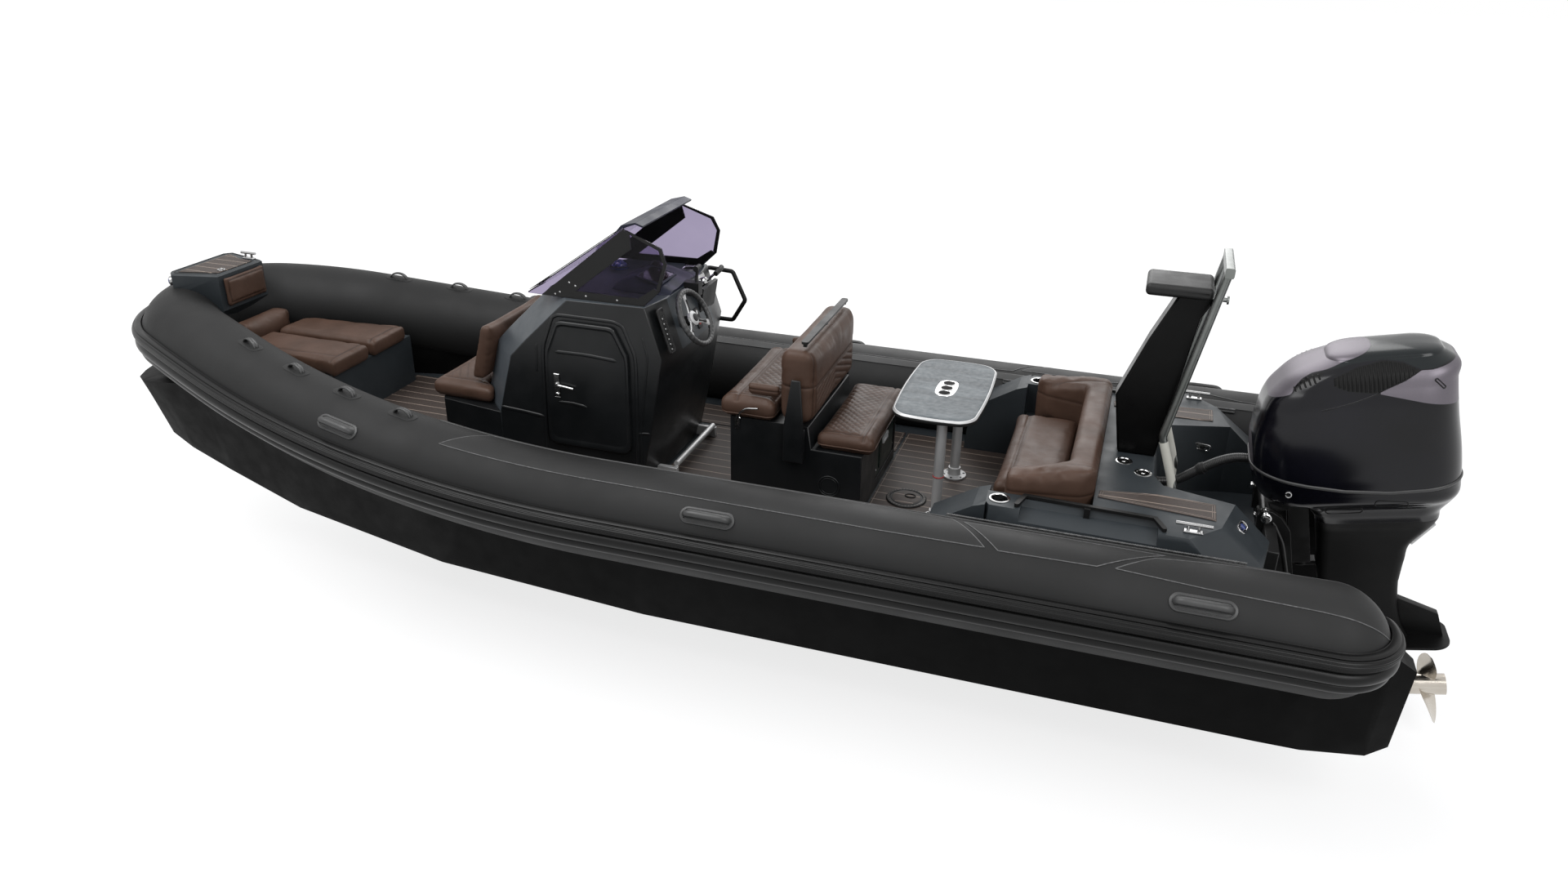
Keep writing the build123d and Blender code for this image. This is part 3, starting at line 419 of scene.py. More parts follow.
def join_up(name, parts):
    """Joins several pieces of one body and finish into one."""
    bm = bmesh.new()
    for o in parts:
        bm.from_mesh(o.data)
    bm.to_mesh(parts[0].data)
    bm.free()
    parts[0].name = name
    for o in parts[1:]:
        bpy.data.objects.remove(o)
    return parts[0]


def mirror_y(name, obj, material, body="root", **more):
    """The piece's mirror image across the centreline, with its faces turned back outward."""
    twin = placed(name, obj.data.copy())
    twin.data.transform(Matrix.Scale(-1, 4, (0, 1, 0)))
    twin.data.flip_normals()
    return settle(twin, material, body, **more)


def refined(name, material, bevel=0.004, body="root", slot=None, angle=30):
    """A CAD node's own shape, merged, with its edges rounded and its curves shaded smooth."""
    obj = placed(name + "_skin", NODES[name].data.copy())
    cleaned(obj.data, 2e-5, 0.5)
    obj.data.shade_smooth()
    obj.data.set_sharp_from_angle(angle=np.radians(angle))
    if bevel:
        mod = obj.modifiers.new("rounded edges", "BEVEL")
        mod.width, mod.segments, mod.limit_method = bevel, 2, "ANGLE"
        mod.angle_limit = np.radians(angle)
    return settle(obj, material, body, slot, (name,))


def two_tone(obj, material, where):
    """Paints a second finish on the faces for which where(normals, centres) is true."""
    faces = obj.data.polygons
    normals, centres = np.empty((len(faces), 3)), np.empty((len(faces), 3))
    faces.foreach_get("normal", normals.ravel())
    faces.foreach_get("center", centres.ravel())
    obj.data.materials.append(material)
    faces.foreach_set("material_index", where(normals, centres).astype(np.int32))
    return obj


# ---------------------------------------------------------------- camera, lamps and floor
def look_from(place, yaw, pitch, roll, lens):
    """A camera looking along (sin yaw cos pitch, -cos yaw cos pitch, -sin pitch), rolled about that line."""
    view = Vector((np.sin(yaw) * np.cos(pitch), -np.cos(yaw) * np.cos(pitch), -np.sin(pitch)))
    right = view.cross(Vector((0, 0, 1))).normalized()
    up = right.cross(view)
    across = np.cos(roll) * right + np.sin(roll) * up
    upward = np.cos(roll) * up - np.sin(roll) * right
    camera = placed("camera", bpy.data.cameras.new("camera"))
    camera.data.lens, camera.data.sensor_width = lens, 36
    camera.data.clip_end = 200
    camera.matrix_world = Matrix.Translation(place) @ Matrix((across, upward, -view)).transposed().to_4x4()
    bpy.context.scene.camera = camera


look_from((0.86465, 5.92598, 3.60966), 0.31535, 0.43922, 0.01485, 25.773)


def soft_lamp(name, place, aim, size, watts):
    """A square area lamp facing a point."""
    lamp = bpy.data.lights.new(name, "AREA")
    lamp.size, lamp.energy = size, watts
    obj = placed(name, lamp)
    obj.location = place
    obj.rotation_euler = (Vector(aim) - Vector(place)).to_track_quat("-Z", "Y").to_euler()


soft_lamp("lamp over the bow", (7, 3, 9), (3.5, 0, 0.5), 7, 700)
soft_lamp("lamp over the stern", (-4, 6, 8), (2, 0, 0.5), 6, 500)
soft_lamp("lamp to starboard", (3, -9, 7), (3, 0, 0.5), 7, 450)


def seen_plainly(t):
    """One where the camera looks straight at a surface, or by way of metal or glass."""
    path = node(t, "ShaderNodeLightPath").outputs
    seen = path["Is Camera Ray"]
    for other in ("Is Glossy Ray", "Is Transmission Ray"):
        seen = reckoned(t, "MAXIMUM", seen, path[other])
    return seen


def white_surround():
    """World light at a plain level, white where the camera, a mirror or glass looks at it."""
    world = bpy.data.worlds.new("studio")
    bpy.context.scene.world = world
    world.use_nodes = True
    t = world.node_tree
    plain = t.nodes["Background"]
    plain.inputs["Color"].default_value = (0.93, 0.96, 1, 1)
    plain.inputs["Strength"].default_value = 0.55
    white = node(t, "ShaderNodeBackground", {"Color": (1, 1, 1, 1), "Strength": 1.0})
    mixed_shader(t, seen_plainly(t), plain.outputs[0], white.outputs[0], "World Output")


white_surround()


def pale_floor(z):
    """A wide pale floor at height z, white to the camera but for the boat's shadow, and wholly white far off."""
    m, t, b = shader("pale floor", (0.8, 0.8, 0.8), 0.9)
    t.links.new(ramp(t, noise(t, 0.6), ((0.3, 0.78), (0.7, 0.82))), b.inputs["Base Color"])
    glow = node(t, "ShaderNodeEmission", {"Color": (1, 1, 1, 1), "Strength": 1.15})
    reach = node(t, "ShaderNodeVectorMath", {0: own_coordinates(t)}, operation="LENGTH").outputs["Value"]
    fade = node(t, "ShaderNodeMapRange", {"Value": reach, "From Min": 5.0, "From Max": 11.0, "To Min": 0.68,
                                          "To Max": 1.0}).outputs["Result"]
    share = reckoned(t, "MULTIPLY", seen_plainly(t), fade)
    mixed_shader(t, share, b.outputs[0], glow.outputs[0], "Material Output")
    mesh = bpy.data.meshes.new("floor")
    mesh.from_pydata([(-60, -60, z), (60, -60, z), (60, 60, z), (-60, 60, z)], [], [(0, 1, 2, 3)])
    mesh.materials.append(m)
    placed("floor", mesh)


pale_floor(cad_box[0][2])

# ---------------------------------------------------------------- rigging hose
HOSE = ((0.680, -0.060, 0.757), (0.540, -0.060, 0.757), (0.425, -0.050, 0.862), (0.301, -0.040, 0.958),
        (0.200, -0.031, 0.993), (0.110, -0.020, 0.990))
HOSE_R = 0.026
hose_rubber = worn("ribbed hose", grey(0.006), grey(0.014), (0.3, 0.45), 300, 0.0002)


def hose_line():
    """Points of the hose's own spline, of order 3, with its ends on the first and last point."""
    curve = bpy.data.curves.new("hose line", "CURVE")
    curve.dimensions = "3D"
    spline = curve.splines.new("NURBS")
    spline.points.add(len(HOSE) - 1)
    spline.points.foreach_set("co", [c for p in HOSE for c in (*p, 1)])
    spline.order_u = 3
    spline.use_endpoint_u = True
    spline.resolution_u = 40
    obj = bpy.data.objects.new("hose line", curve)
    mesh = bpy.data.meshes.new_from_object(obj)
    points = np.empty(3 * len(mesh.vertices))
    mesh.vertices.foreach_get("co", points)
    bpy.data.objects.remove(obj)
    return points.reshape(-1, 3)


def length_along(path):
    return np.concatenate([[0], np.cumsum(np.linalg.norm(np.diff(path, axis=0), axis=1))])


def spaced(path, step):
    """The path's own points taken at an even spacing."""
    run = length_along(path)
    at = np.linspace(0, run[-1], max(int(run[-1] / step), 3))
    return np.stack([np.interp(at, run, path[:, i]) for i in range(3)], -1)


def ribbed_hose(name, path):
    """A corrugated tube: its radius falls 8 % in each groove, one groove every 9 mm."""
    fine = spaced(path, 0.0022)
    ripple = 1 - 0.08 * (0.5 + 0.5 * np.cos(TAU * length_along(fine) / 0.009)) ** 2
    c, s = ring_of(28)
    return grid(name, carried(fine, HOSE_R * np.stack([c, s], -1), ripple), hose_rubber, "root", angle=None)


route = hose_line()
halfway = np.argmin(np.abs(length_along(route) - length_along(route)[-1] / 2))
aft_run, fore_run = route[:halfway + 1], route[halfway:]
collar_at, collar_way = route[halfway], route[halfway + 1] - route[halfway - 1]
hose_aft, hose_fore = ribbed_hose("hose_from_well", aft_run), ribbed_hose("hose_to_engine", fore_run)
for half in (hose_aft, hose_fore):
    half.parent = None
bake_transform(hose_aft)
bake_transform(hose_fore)
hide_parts("rigging_hose")
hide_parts("rigging_hose")
collar = turned("hose_collar", [(0.0262, -0.024), (0.03, -0.02), (0.031, -0.006), (0.0335, -0.004), (0.0335, 0.004),
                                (0.031, 0.006), (0.03, 0.02), (0.0262, 0.024)], collar_at, collar_way, black_moulding,
                "swivel", slot="hose")
boot = turned("hose_boot", [(0.0262, -0.075), (0.029, -0.073), (0.033, -0.03), (0.036, -0.028), (0.036, -0.012),
                            (0.046, -0.008), (0.046, 0.0)], route[0], (1, 0, 0), black_moulding,
              slot="hose")

# ---------------------------------------------------------------- inflated tubes
R = 0.265
STERN = np.array((-0.167, 1.126, 0.662))


def tangent_arc(p, t, q):
    """Points and directions on the circle that leaves p along t and passes through q."""
    v = q - p
    turn = 2 * np.arccos(np.clip(v @ t / np.linalg.norm(v), -1, 1))
    side = unit(v - (v @ t) * t)
    radius = np.linalg.norm(v) / (2 * np.sin(turn / 2))
    s = np.linspace(0, turn, 30)[1:, None]
    return (p + radius * (np.sin(s) * t + (1 - np.cos(s)) * side)), np.cos(s) * t + np.sin(s) * side


def tube_line():
    """The tube's centre, direction, outboard side and up: straight, then two pairs of tangent arcs to the stem."""
    ahead = np.array((1.0, 0, 0))
    stations = [(np.array((3.45, 1.126, 0.662)), ahead), (np.array((6.187, 0.713, 0.906)), unit((0.8, -0.265, 0.139))),
                (np.array((7.1, 0, 1.005)), np.array((0, -1.0, 0)))]
    points, ways = [np.linspace(STERN, stations[0][0], 70)], [np.tile(ahead, (70, 1))]
    for (p, t), (q, w) in zip(stations, stations[1:]):
        v, both, k = q - p, t + w, 2 * (1 - t @ w)
        d = (-v @ both + np.sqrt((v @ both) ** 2 + k * v @ v)) / k
        a, ta = tangent_arc(p, t, (p + t * d + q - w * d) / 2)
        b, tb = tangent_arc(a[-1], ta[-1], q)
        points += [a, b]
        ways += [ta, tb]
    c, t = np.concatenate(points), np.concatenate(ways)
    side = units(np.stack([-t[:, 1], t[:, 0], 0 * t[:, 0]], -1))
    return c, t, side, np.cross(t, side)


LINE = tube_line()


def on_tube(x, angle, lift=0.0):
    """The point of the port tube's skin at a station x and an angle above its outboard side, raised by lift."""
    c, _, side, up = (np.stack([np.interp(x, LINE[0][:, 0], q[:, i]) for i in range(3)], -1) for q in LINE)
    c = np.where((x < STERN[0])[..., None], np.stack([x, c[..., 1], c[..., 2]], -1), c)
    r = np.sqrt(np.clip(R ** 2 - np.clip(STERN[0] - x, 0, None) ** 2, 0, None)) + lift
    a = np.radians(angle)
    return c + (r * np.cos(a))[..., None] * side + (r * np.sin(a))[..., None] * up


def tube_skin():
    """The tube as rings of radius R round its line, behind them the rings of a half sphere."""
    c, _, side, up = LINE
    lean = np.radians(np.linspace(89, 3, 24))
    c = np.concatenate([STERN - np.outer(R * np.sin(lean), (1, 0, 0)), c])
    side, up = (np.concatenate([np.tile(q[0], (24, 1)), q]) for q in (side, up))
    r = np.concatenate([R * np.cos(lean), np.full(len(LINE[0]), R)])[:, None, None]
    co, si = ring_of(112)
    return c[:, None] + r * (co[:, None] * side[:, None] + si[:, None] * up[:, None])


tube_port = grid("tube_skin_port", tube_skin(), tube_cloth, slot="tube", replaces=("tube_port",), angle=None)
mirror_y("tube_skin_starboard", tube_port, tube_cloth, slot="tube", replaces=("tube_starboard",))

STRAKE_BEADS = ((0.277, 12.5, 0.042), (0.273, -2.5, 0.036), (0.269, -15, 0.028))


def strake_skin():
    """Three beads and their fine ribs as a radius by angle round the tube's line, swept on round the stern."""
    a = np.radians(np.linspace(-22, 22.5, 90))
    r = np.full(len(a), 0.262)
    for reach, lean, bead in STRAKE_BEADS:
        d = a - np.radians(lean)
        r = np.maximum(r, reach * np.cos(d) + np.sqrt(np.clip(bead ** 2 - (reach * np.sin(d)) ** 2, 0, None)) - 1e-9)
    r += 0.0012 * np.cos(a * 260) * (np.abs(np.degrees(a) - 12.5) < 7)
    r -= 0.006 * np.exp(-((np.degrees(a) - 17.5) / 0.5) ** 2)
    a, r = np.concatenate([a, a[::-1][10::20]]), np.concatenate([r, np.full(4, 0.25)])
    c, _, side, up = LINE
    turn = np.radians(np.linspace(216, 92, 40))
    sweep = np.stack([np.cos(turn), np.sin(turn), 0 * turn], -1)
    c = np.concatenate([np.tile(c[0], (40, 1)), c])
    side, up = np.concatenate([sweep, side]), np.concatenate([np.tile((0, 0, 1), (40, 1)), up])
    full = np.ones(len(c))
    full[:5] = (0, 0.45, 0.72, 0.9, 0.98)
    r = 0.25 + (r - 0.25) * full[:, None]
    return c[:, None] + (r * np.cos(a))[..., None] * side[:, None] + (r * np.sin(a))[..., None] * up[:, None]


strake = grid("rub_strake_skin_port", strake_skin(), strake_rubber, slot="strake", replaces=("rub_strake_port",))
mirror_y("rub_strake_skin_starboard", strake, strake_rubber, slot="strake", replaces=("rub_strake_starboard",))


def closed_bar(name, path, r, material, body="root", n=8, flat=1.0, up=None, **more):
    """A bar of radius r round a closed path, flattened across the outward direction by a share."""
    path = np.asarray(path, float)
    t = units(np.roll(path, -1, 0) - np.roll(path, 1, 0))
    up = np.broadcast_to((0, 0, 1.0) if up is None else up, path.shape)
    side = units(np.cross(t, up))
    rise = np.cross(side, t)
    c, s = ring_of(n)
    pts = path[:, None] + r * (c[None, :, None] * side[:, None] + flat * s[None, :, None] * rise[:, None])
    return closed_grid(name, pts, material, body, **more)


PATCH_LIFT = 0.0022


def tube_patch(name, low, high):
    """A glued patch between two break lines of (x, angle), its rim turned down to the tube, and its pale seam."""
    low, high = np.array(sorted(low), float), np.array(sorted(high), float)
    x = np.unique(np.concatenate([np.linspace(low[0, 0], low[-1, 0], 150), low[:, 0], high[:, 0]]))
    lo, hi = np.interp(x, *low.T), np.interp(x, *high.T)
    v = np.linspace(0, 1, 15)
    angle = lo[:, None] + (hi - lo)[:, None] * v
    top = on_tube(np.broadcast_to(x[:, None], angle.shape), angle, PATCH_LIFT)
    edge = [on_tube(x, q, -0.001)[:, None] for q in (lo, hi)]
    skin = grid(name + "_port", np.concatenate([edge[0], top, edge[1]], 1), patch_cloth, slot="tube")
    x2, a2 = np.concatenate([x, x[::-1]]), np.concatenate([lo, hi[::-1]])
    rim = on_tube(x2, a2, 0.0015)
    step = np.linalg.norm(rim - np.roll(rim, 1, 0), axis=1) > 0.0006
    rim, out = rim[step], (rim - on_tube(x2, a2, -0.05))[step]
    seam = closed_bar(name + "_seam_port", rim, 0.0032, pale_seam_and_highlight, n=6, flat=0.5, up=out, slot="tube")
    mirror_y(name + "_starboard", skin, patch_cloth, slot="tube")
    mirror_y(name + "_seam_starboard", seam, pale_seam_and_highlight, slot="tube")


tube_patch("side_patch", [(1.384, 63.6), (1.9, 62.5), (3.2, 63.5), (4.42, 64)],
           [(1.384, 63.7), (1.575, 105), (2.108, 110), (4.2, 111), (4.42, 64.1)])
tube_patch("arrow_patch", [(0.568, 100.9), (0.865, 64.3), (1.319, 62.5), (1.515, 101.4)],
           [(0.568, 101), (1.1, 103), (1.515, 101.5)])
tube_patch("stern_patch", [(-0.4, 52), (-0.1, 57), (0.374, 60), (0.783, 65.4)],
           [(-0.4, 118), (0.2, 108), (0.609, 91), (0.783, 65.5)])


def ribbed_band():
    """An anti-slip strip along the tube's inner shoulder: low slanting ribs every 16 mm."""
    x = np.arange(0.02, 4.6, 0.004)[:, None]
    angle = np.linspace(112.5, 124, 9)[None]
    rib = 0.003 + 0.0022 * np.abs(np.sin(np.pi * (x + angle * 0.004) / 0.016)) ** 0.6
    top = on_tube(np.broadcast_to(x, rib.shape), np.broadcast_to(angle, rib.shape), rib)
    ends = [on_tube(x[:, 0], np.full(len(x), a), -0.001)[:, None] for a in (112.2, 124.3)]
    return np.concatenate([ends[0], top, ends[1]], 1)


band = grid("step_band_port", ribbed_band(), ribbed_rubber, slot="tube", angle=None)
mirror_y("step_band_starboard", band, ribbed_rubber, slot="tube")


# ---------------------------------------------------------------- fittings on the tubes
def stand(x, angle):
    """A fitting's frame on the tube: a point on its line, and its along, across and outward directions."""
    c, t, side, up = (np.array([np.interp(x, LINE[0][:, 0], q[:, i]) for i in range(3)]) for q in LINE)
    a = np.radians(angle)
    return c, unit(t), np.cos(a) * up - np.sin(a) * side, np.cos(a) * side + np.sin(a) * up


def laid(frame_, along, across, out):
    """Points by their distances along, across and outward from the tube's line."""
    c, t, w, n = frame_
    return c + along[..., None] * t + across[..., None] * w + out[..., None] * n


def rounded_ring(a, b, r, n=12):
    """A rectangle of half sizes a and b with corners of radius r, as points anticlockwise."""
    r = min(r, a * 0.999, b * 0.999)
    q = np.linspace(0, np.pi / 2, n)
    turns = [(a - r, b - r, 0), (-(a - r), b - r, 1), (-(a - r), -(b - r), 2), (a - r, -(b - r), 3)]
    return np.concatenate([np.stack([x + r * np.cos(q + k * np.pi / 2), y + r * np.sin(q + k * np.pi / 2)], -1)
                           for x, y, k in turns])


def rubber_pad(name, frame_, a, b, r, height, material, **more):
    """A crowned pad bent to the tube: rounded rectangles shrinking inward while they rise."""
    rows = []
    for share, rise in ((1, -0.004), (1, 0.5), (0.985, 0.85), (0.94, 1.0), (0.6, 1.02), (0.25, 1.03), (0.02, 1.03)):
        ring = rounded_ring(a, b, r) * share if share < 0.9 else rounded_ring(a - (1 - share) * b, b * share, r)
        out = np.sqrt(R ** 2 - ring[:, 1] ** 2) + (height * rise if rise > 0 else rise)
        rows.append(laid(frame_, ring[:, 0], ring[:, 1], out))
    return grid(name, np.stack(rows), material, **more)


def grab_handle(name, x):
    """A moulded carrying handle: an oval pad with a raised lip and a thick grip over two slots."""
    f = stand(x, 42)
    pad = rubber_pad(name + "_pad_port", f, 0.1475, 0.045, 0.044, 0.008, fitting_rubber, slot="handle_rubber",
                     replaces=("tube_handles",))
    ring = rounded_ring(0.132, 0.033, 0.032)
    lip = closed_bar(name + "_lip_port", laid(f, ring[:, 0], ring[:, 1], np.sqrt(R ** 2 - ring[:, 1] ** 2) + 0.008),
                     0.0035, fitting_rubber, up=f[3], slot="handle_rubber")
    s = np.linspace(-1, 1, 49)
    rise = R + 0.044 * np.clip(1 - np.abs(s) ** 7, 0, 1) ** 0.6 - 0.002
    path = laid(f, 0.122 * s, 0 * s, rise)
    c, si = ring_of(20)
    wide = np.stack([0.0185 * c, 0.0155 * si], -1)
    across = f[2]
    rise = np.cross(units(np.gradient(path, axis=0)), across)
    pts = path[:, None] + wide[None, :, 0, None] * across + wide[None, :, 1, None] * rise[:, None]
    grip = grid(name + "_grip_port", pts, fitting_rubber, slot="handle_rubber")
    for p in (pad, lip, grip):
        mirror_y(p.name.replace("_port", "_starboard"), p, fitting_rubber, slot="handle_rubber")


for k, x in enumerate((0.389, 2.769, 5.075)):
    grab_handle(f"handle_{k + 1}", x)


def strap_loop(name, x):
    """A rubber strap with two raised ridges, arched over a pad."""
    f = stand(x, 92)
    pad = rubber_pad(name + "_pad_port", f, 0.095, 0.042, 0.036, 0.003, patch_cloth, slot="handle_rubber",
                     replaces=("tube_loops",))
    q = np.linspace(np.pi, 0, 33)
    v = np.linspace(-0.016, 0.016, 17)
    ridge = 0.0028 * (np.exp(-((v - 0.008) / 0.003) ** 2) + np.exp(-((v + 0.008) / 0.003) ** 2))
    rows = []
    for w, add in [(v[0], -0.006)] + [(a, b) for a, b in zip(v, ridge)] + [(v[-1], -0.006)]:
        rows.append(laid(f, (0.062 + add) * np.cos(q), np.full(33, w), R - 0.006 + (0.046 + add) * np.sin(q)))
    arch = grid(name + "_strap_port", np.stack(rows, 1), fitting_rubber, slot="handle_rubber")
    mirror_y(name + "_pad_starboard", pad, patch_cloth, slot="handle_rubber")
    mirror_y(name + "_strap_starboard", arch, fitting_rubber, slot="handle_rubber")


for k, x in enumerate((4.781, 5.213, 5.645, 6.077)):
    strap_loop(f"loop_{k + 1}", x)

# ---------------------------------------------------------------- hull, sole and planking
refined("hull", hull_gloss, 0.006, slot="hull")
refined("deck_sole", moulding_gelcoat, 0.004, slot="liner")
refined("deck_planking", planking, 0.001, slot="planking")
refined("step_pads", planking, 0.001, slot="planking")
refined("transom", black_moulding, 0.006, slot="liner")
refined("stern_moulding", moulding_gelcoat, 0.009, slot="liner")
refined("sunpad_base", moulding_gelcoat, 0.012, slot="liner")
refined("front_seat_base", console_gelcoat, 0.01, slot="liner")
refined("bow_locker", moulding_gelcoat, 0.012, slot="liner")
refined("helm_seat_base", console_gelcoat, 0.006, slot="liner")
pale_caulk = worn("pale caulking", (0.16, 0.13, 0.11), (0.26, 0.21, 0.18), (0.5, 0.6), 400, 0.0001)


def inset_ring(outline, inset):
    """A closed outline drawn in along the bisector of each corner."""
    p = np.asarray(outline, float)
    into, out = p - np.roll(p, 1, 0), np.roll(p, -1, 0) - p
    into, out = units(into), units(out)
    turn = np.sign(np.sum(into[:, 0] * out[:, 1] - into[:, 1] * out[:, 0]))
    left_in, left_out = (np.stack([-v[:, 1], v[:, 0]], -1) * turn for v in (into, out))
    bisector = left_in + left_out
    return p + bisector * (inset / (1 + (left_in * left_out).sum(1)))[:, None]


def border_lines(name, outline, z, insets=(0.012,), width=0.0018, mirrored=False):
    """Pale lines let into a planked panel, each a set distance inside its edge."""
    lines = []
    for k, inset in enumerate(insets):
        ring = inset_ring(outline, inset)
        fine = np.concatenate([np.linspace(a, b, 12, endpoint=False) for a, b in zip(ring, np.roll(ring, -1, 0))])
        path = np.column_stack([fine, np.full(len(fine), z)])
        lines.append(closed_bar(f"{name}_line_{k}", path, width, pale_caulk, n=6, flat=0.4, slot="planking"))
        if mirrored:
            lines.append(mirror_y(f"{name}_line_{k}_starboard", lines[-1], pale_caulk, slot="planking"))
    return join_up(name + "_border", lines)


def panel(x0, x1, y0, y1):
    return [(x0, y0), (x1, y0), (x1, y1), (x0, y1)]


DECK = 0.4855
border_lines("aft_deck", panel(1.5, 2.19, -0.8, 0.8), DECK)
border_lines("side_deck", panel(2.205, 4.48, 0.5, 0.8), DECK, mirrored=True)
border_lines("helm_deck", panel(2.995, 3.48, -0.485, 0.485), DECK)
border_lines("bow_deck", panel(4.93, 5.84, -0.56, 0.56), DECK)
border_lines("stern_pad", [(0.907, 0.579), (0.625, 0.526), (0.345, 0.545), (0.345, 0.718), (0.912, 0.655)], 0.9655,
             (0.007, 0.018), 0.0014, True)
border_lines("bow_step", [(6.77, 0.165), (7.04, 0.24), (7.04, -0.23), (6.895, -0.16), (6.77, -0.145)], 1.3675,
             (0.008,), 0.0014)


def hatch():
    """A round screw-in deck plate: black rim, a ring of tick marks, a brown centre and a folding handle."""
    at = (1.994, 0.116, 0.485)
    turned("deck_hatch_rim", [(0.119, 0), (0.119, 0.005), (0.114, 0.009), (0.1, 0.0095), (0.097, 0.006), (0.091, 0.006),
                              (0.089, 0.009), (0.001, 0.0092)], at, (0, 0, 1), black_moulding, n=72,
           slot="black_plastic", replaces=("deck_hatch",))
    a = np.linspace(0, TAU, 36, endpoint=False)
    c, s = np.cos(a), np.sin(a)
    ticks = [slab(f"tick_{k}", np.array([(at[0] + r * x - w * y, at[1] + r * y + w * x, at[2] + 0.0093)
             for r, w in ((0.101, -0.001), (0.112, -0.001), (0.112, 0.001), (0.101, 0.001))]), (0, 0, 0.0006),
             pale_caulk, bevel=0.0002, slot="black_plastic") for k, (x, y) in enumerate(zip(c, s))]
    join_up("deck_hatch_ticks", ticks)
    turned("deck_hatch_centre", [(0.083, 0.008), (0.083, 0.0105), (0.08, 0.0112), (0.001, 0.0114)], at, (0, 0, 1),
           planking, n=64, slot="planking")
    q = np.linspace(0, TAU, 40, endpoint=False)
    ring = np.stack([at[0] - 0.02 + 0.03 * np.cos(q), at[1] - 0.02 + 0.022 * np.sin(q),
                     np.full(40, at[2] + 0.0135)], -1)
    closed_bar("deck_hatch_handle", ring, 0.004, black_moulding, slot="black_plastic")


hatch()

# ---------------------------------------------------------------- stern
refined("coaming_handrails", powder_coat, 0.003, slot="black_rail")
refined("mooring_cleats", polished, 0.0015, slot="stainless", angle=40)
refined("pylon_fin", fin_gloss, 0.012, slot="fin_paint")
refined("pylon_frame", frame_steel, 0.003, slot="stainless", angle=40)
refined("pylon_platform", black_moulding, 0.003, slot="black_plastic")
refined("clamp_bracket", bracket_black, 0.004, slot="bracket_paint")
refined("swivel_bracket", bracket_black, 0.005, body="swivel", slot="bracket_paint")
for k, (x, y) in enumerate(((0.81, 0.175), (0.705, 0.291))):
    turned(f"filler_cap_{k}", [(0.046, 0), (0.046, 0.003), (0.042, 0.0055), (0.034, 0.006), (0.031, 0.0025),
                               (0.012, 0.002), (0.01, 0.005), (0.001, 0.0055)], (x, y, 0.959), (0, 0, 1), polished,
           n=56, slot="stainless")
for side in (1, -1):
    turned(f"cup_ring_{side + 1}", [(0.0405, -0.07), (0.0405, 0.001), (0.043, 0.0045), (0.05, 0.005), (0.0535, 0.003),
                                    (0.0535, -0.001)], (1.38, side * 0.836, 0.96), (0, 0, 1), polished, n=64,
           slot="stainless", replaces=("coaming_cup_rings",) if side == 1 else ())


def oval_fitting(name, at, normal, a, b, material, centre):
    """An oval plate with a dished centre, standing on a sloping face."""
    n = unit(normal)
    x = unit(np.cross((0, 0, 1), n))
    y = np.cross(n, x)
    rows = []
    for share, rise in ((1, -0.002), (1, 0.003), (0.94, 0.006), (0.78, 0.0065), (0.72, 0.004), (0.02, 0.003)):
        ring = rounded_ring(a, b, b) * share
        rows.append(np.asarray(at) + ring[:, :1] * x + ring[:, 1:] * y + rise * n)
    grid(name, np.stack(rows), material, slot="stainless")
    turned(name + "_centre", [(b * 0.62, 0.002), (b * 0.6, 0.007), (b * 0.4, 0.0095), (0.0005, 0.0105)], at, n,
           centre, slot="stainless")


oval_fitting("stern_light", (0.212, 0.62, 0.9035), (-0.61, 0.155, 0.777), 0.056, 0.027, polished, light_lens)
oval_fitting("well_socket", (0.385, -0.44, 0.84), (0.25, 1, -0.12), 0.05, 0.022, polished, black_moulding)


def cream_legs():
    """The painted lower legs of the pylon frame, a sleeve over each bar from the well's floor to the fin."""
    for side in (1, -1):
        y = side * 0.165
        round_bar(f"pylon_leg_{side + 1}", [(0.54, y, 0.575), (0.54, y, 0.845), (0.625, y, 1.10)], 0.0235, cream_paint,
                  n=28, fine=14, slot="stainless")


cream_legs()
slab("tow_bar_face", [(0.4335, -0.195, 2.03), (0.4335, 0.195, 2.03), (0.4335, 0.195, 2.066), (0.4335, -0.195, 2.066)],
     (-0.0015, 0, 0), anodised, bevel=0.0006, slot="stainless")


def ribbed_welt():
    """Two twisted welts along the joint of the stern moulding and the tube, rising and falling every 12 mm; the upper,
    thinner one is pale, a painted highlight along the tube's inner top edge.
    """
    for k, (y, z, r) in enumerate(((0.952, 0.872, 0.007), (0.957, 0.889, 0.005))):
        x = np.arange(0.2, 1.62, 0.003)
        path = np.stack([x, y + 0 * x, z + 0 * x], -1)
        c, s = ring_of(10)
        twist = 1 + 0.22 * np.cos(TAU * x[:, None] / 0.012 + np.arctan2(s, c)[None])
        circle = c[:, None] * np.array((0, 1, 0)) + s[:, None] * np.array((0, 0, 1))
        pts = path[:, None] + r * twist[..., None] * circle[None]
        # the upper welt takes the pale finish: a painted highlight along that edge
        w = grid(f"welt_{k}_port", pts, pale_seam_and_highlight if k else ribbed_rubber, slot="tube", angle=None)
        mirror_y(f"welt_{k}_starboard", w, pale_seam_and_highlight if k else ribbed_rubber, slot="tube")


ribbed_welt()

# ---------------------------------------------------------------- table
TABLE_X, TABLE_Y, TABLE_TOP = 1.835, -0.062, 1.145


def bowed_ring(a, b, bow, r, n=20):
    """A rounded rectangle whose sides bow out by a set amount at their middles."""
    ring = rounded_ring(a - bow, b - bow, r, n)
    long = np.concatenate([np.linspace(p, q, 14, endpoint=False) for p, q in zip(ring, np.roll(ring, -1, 0))])
    x, y = long.T
    return np.stack([x * (1 + bow / (a - bow) * (1 - (y / (b - bow)) ** 2)),
                     y * (1 + bow / (b - bow) * (1 - (x / (a - bow)) ** 2))], -1)


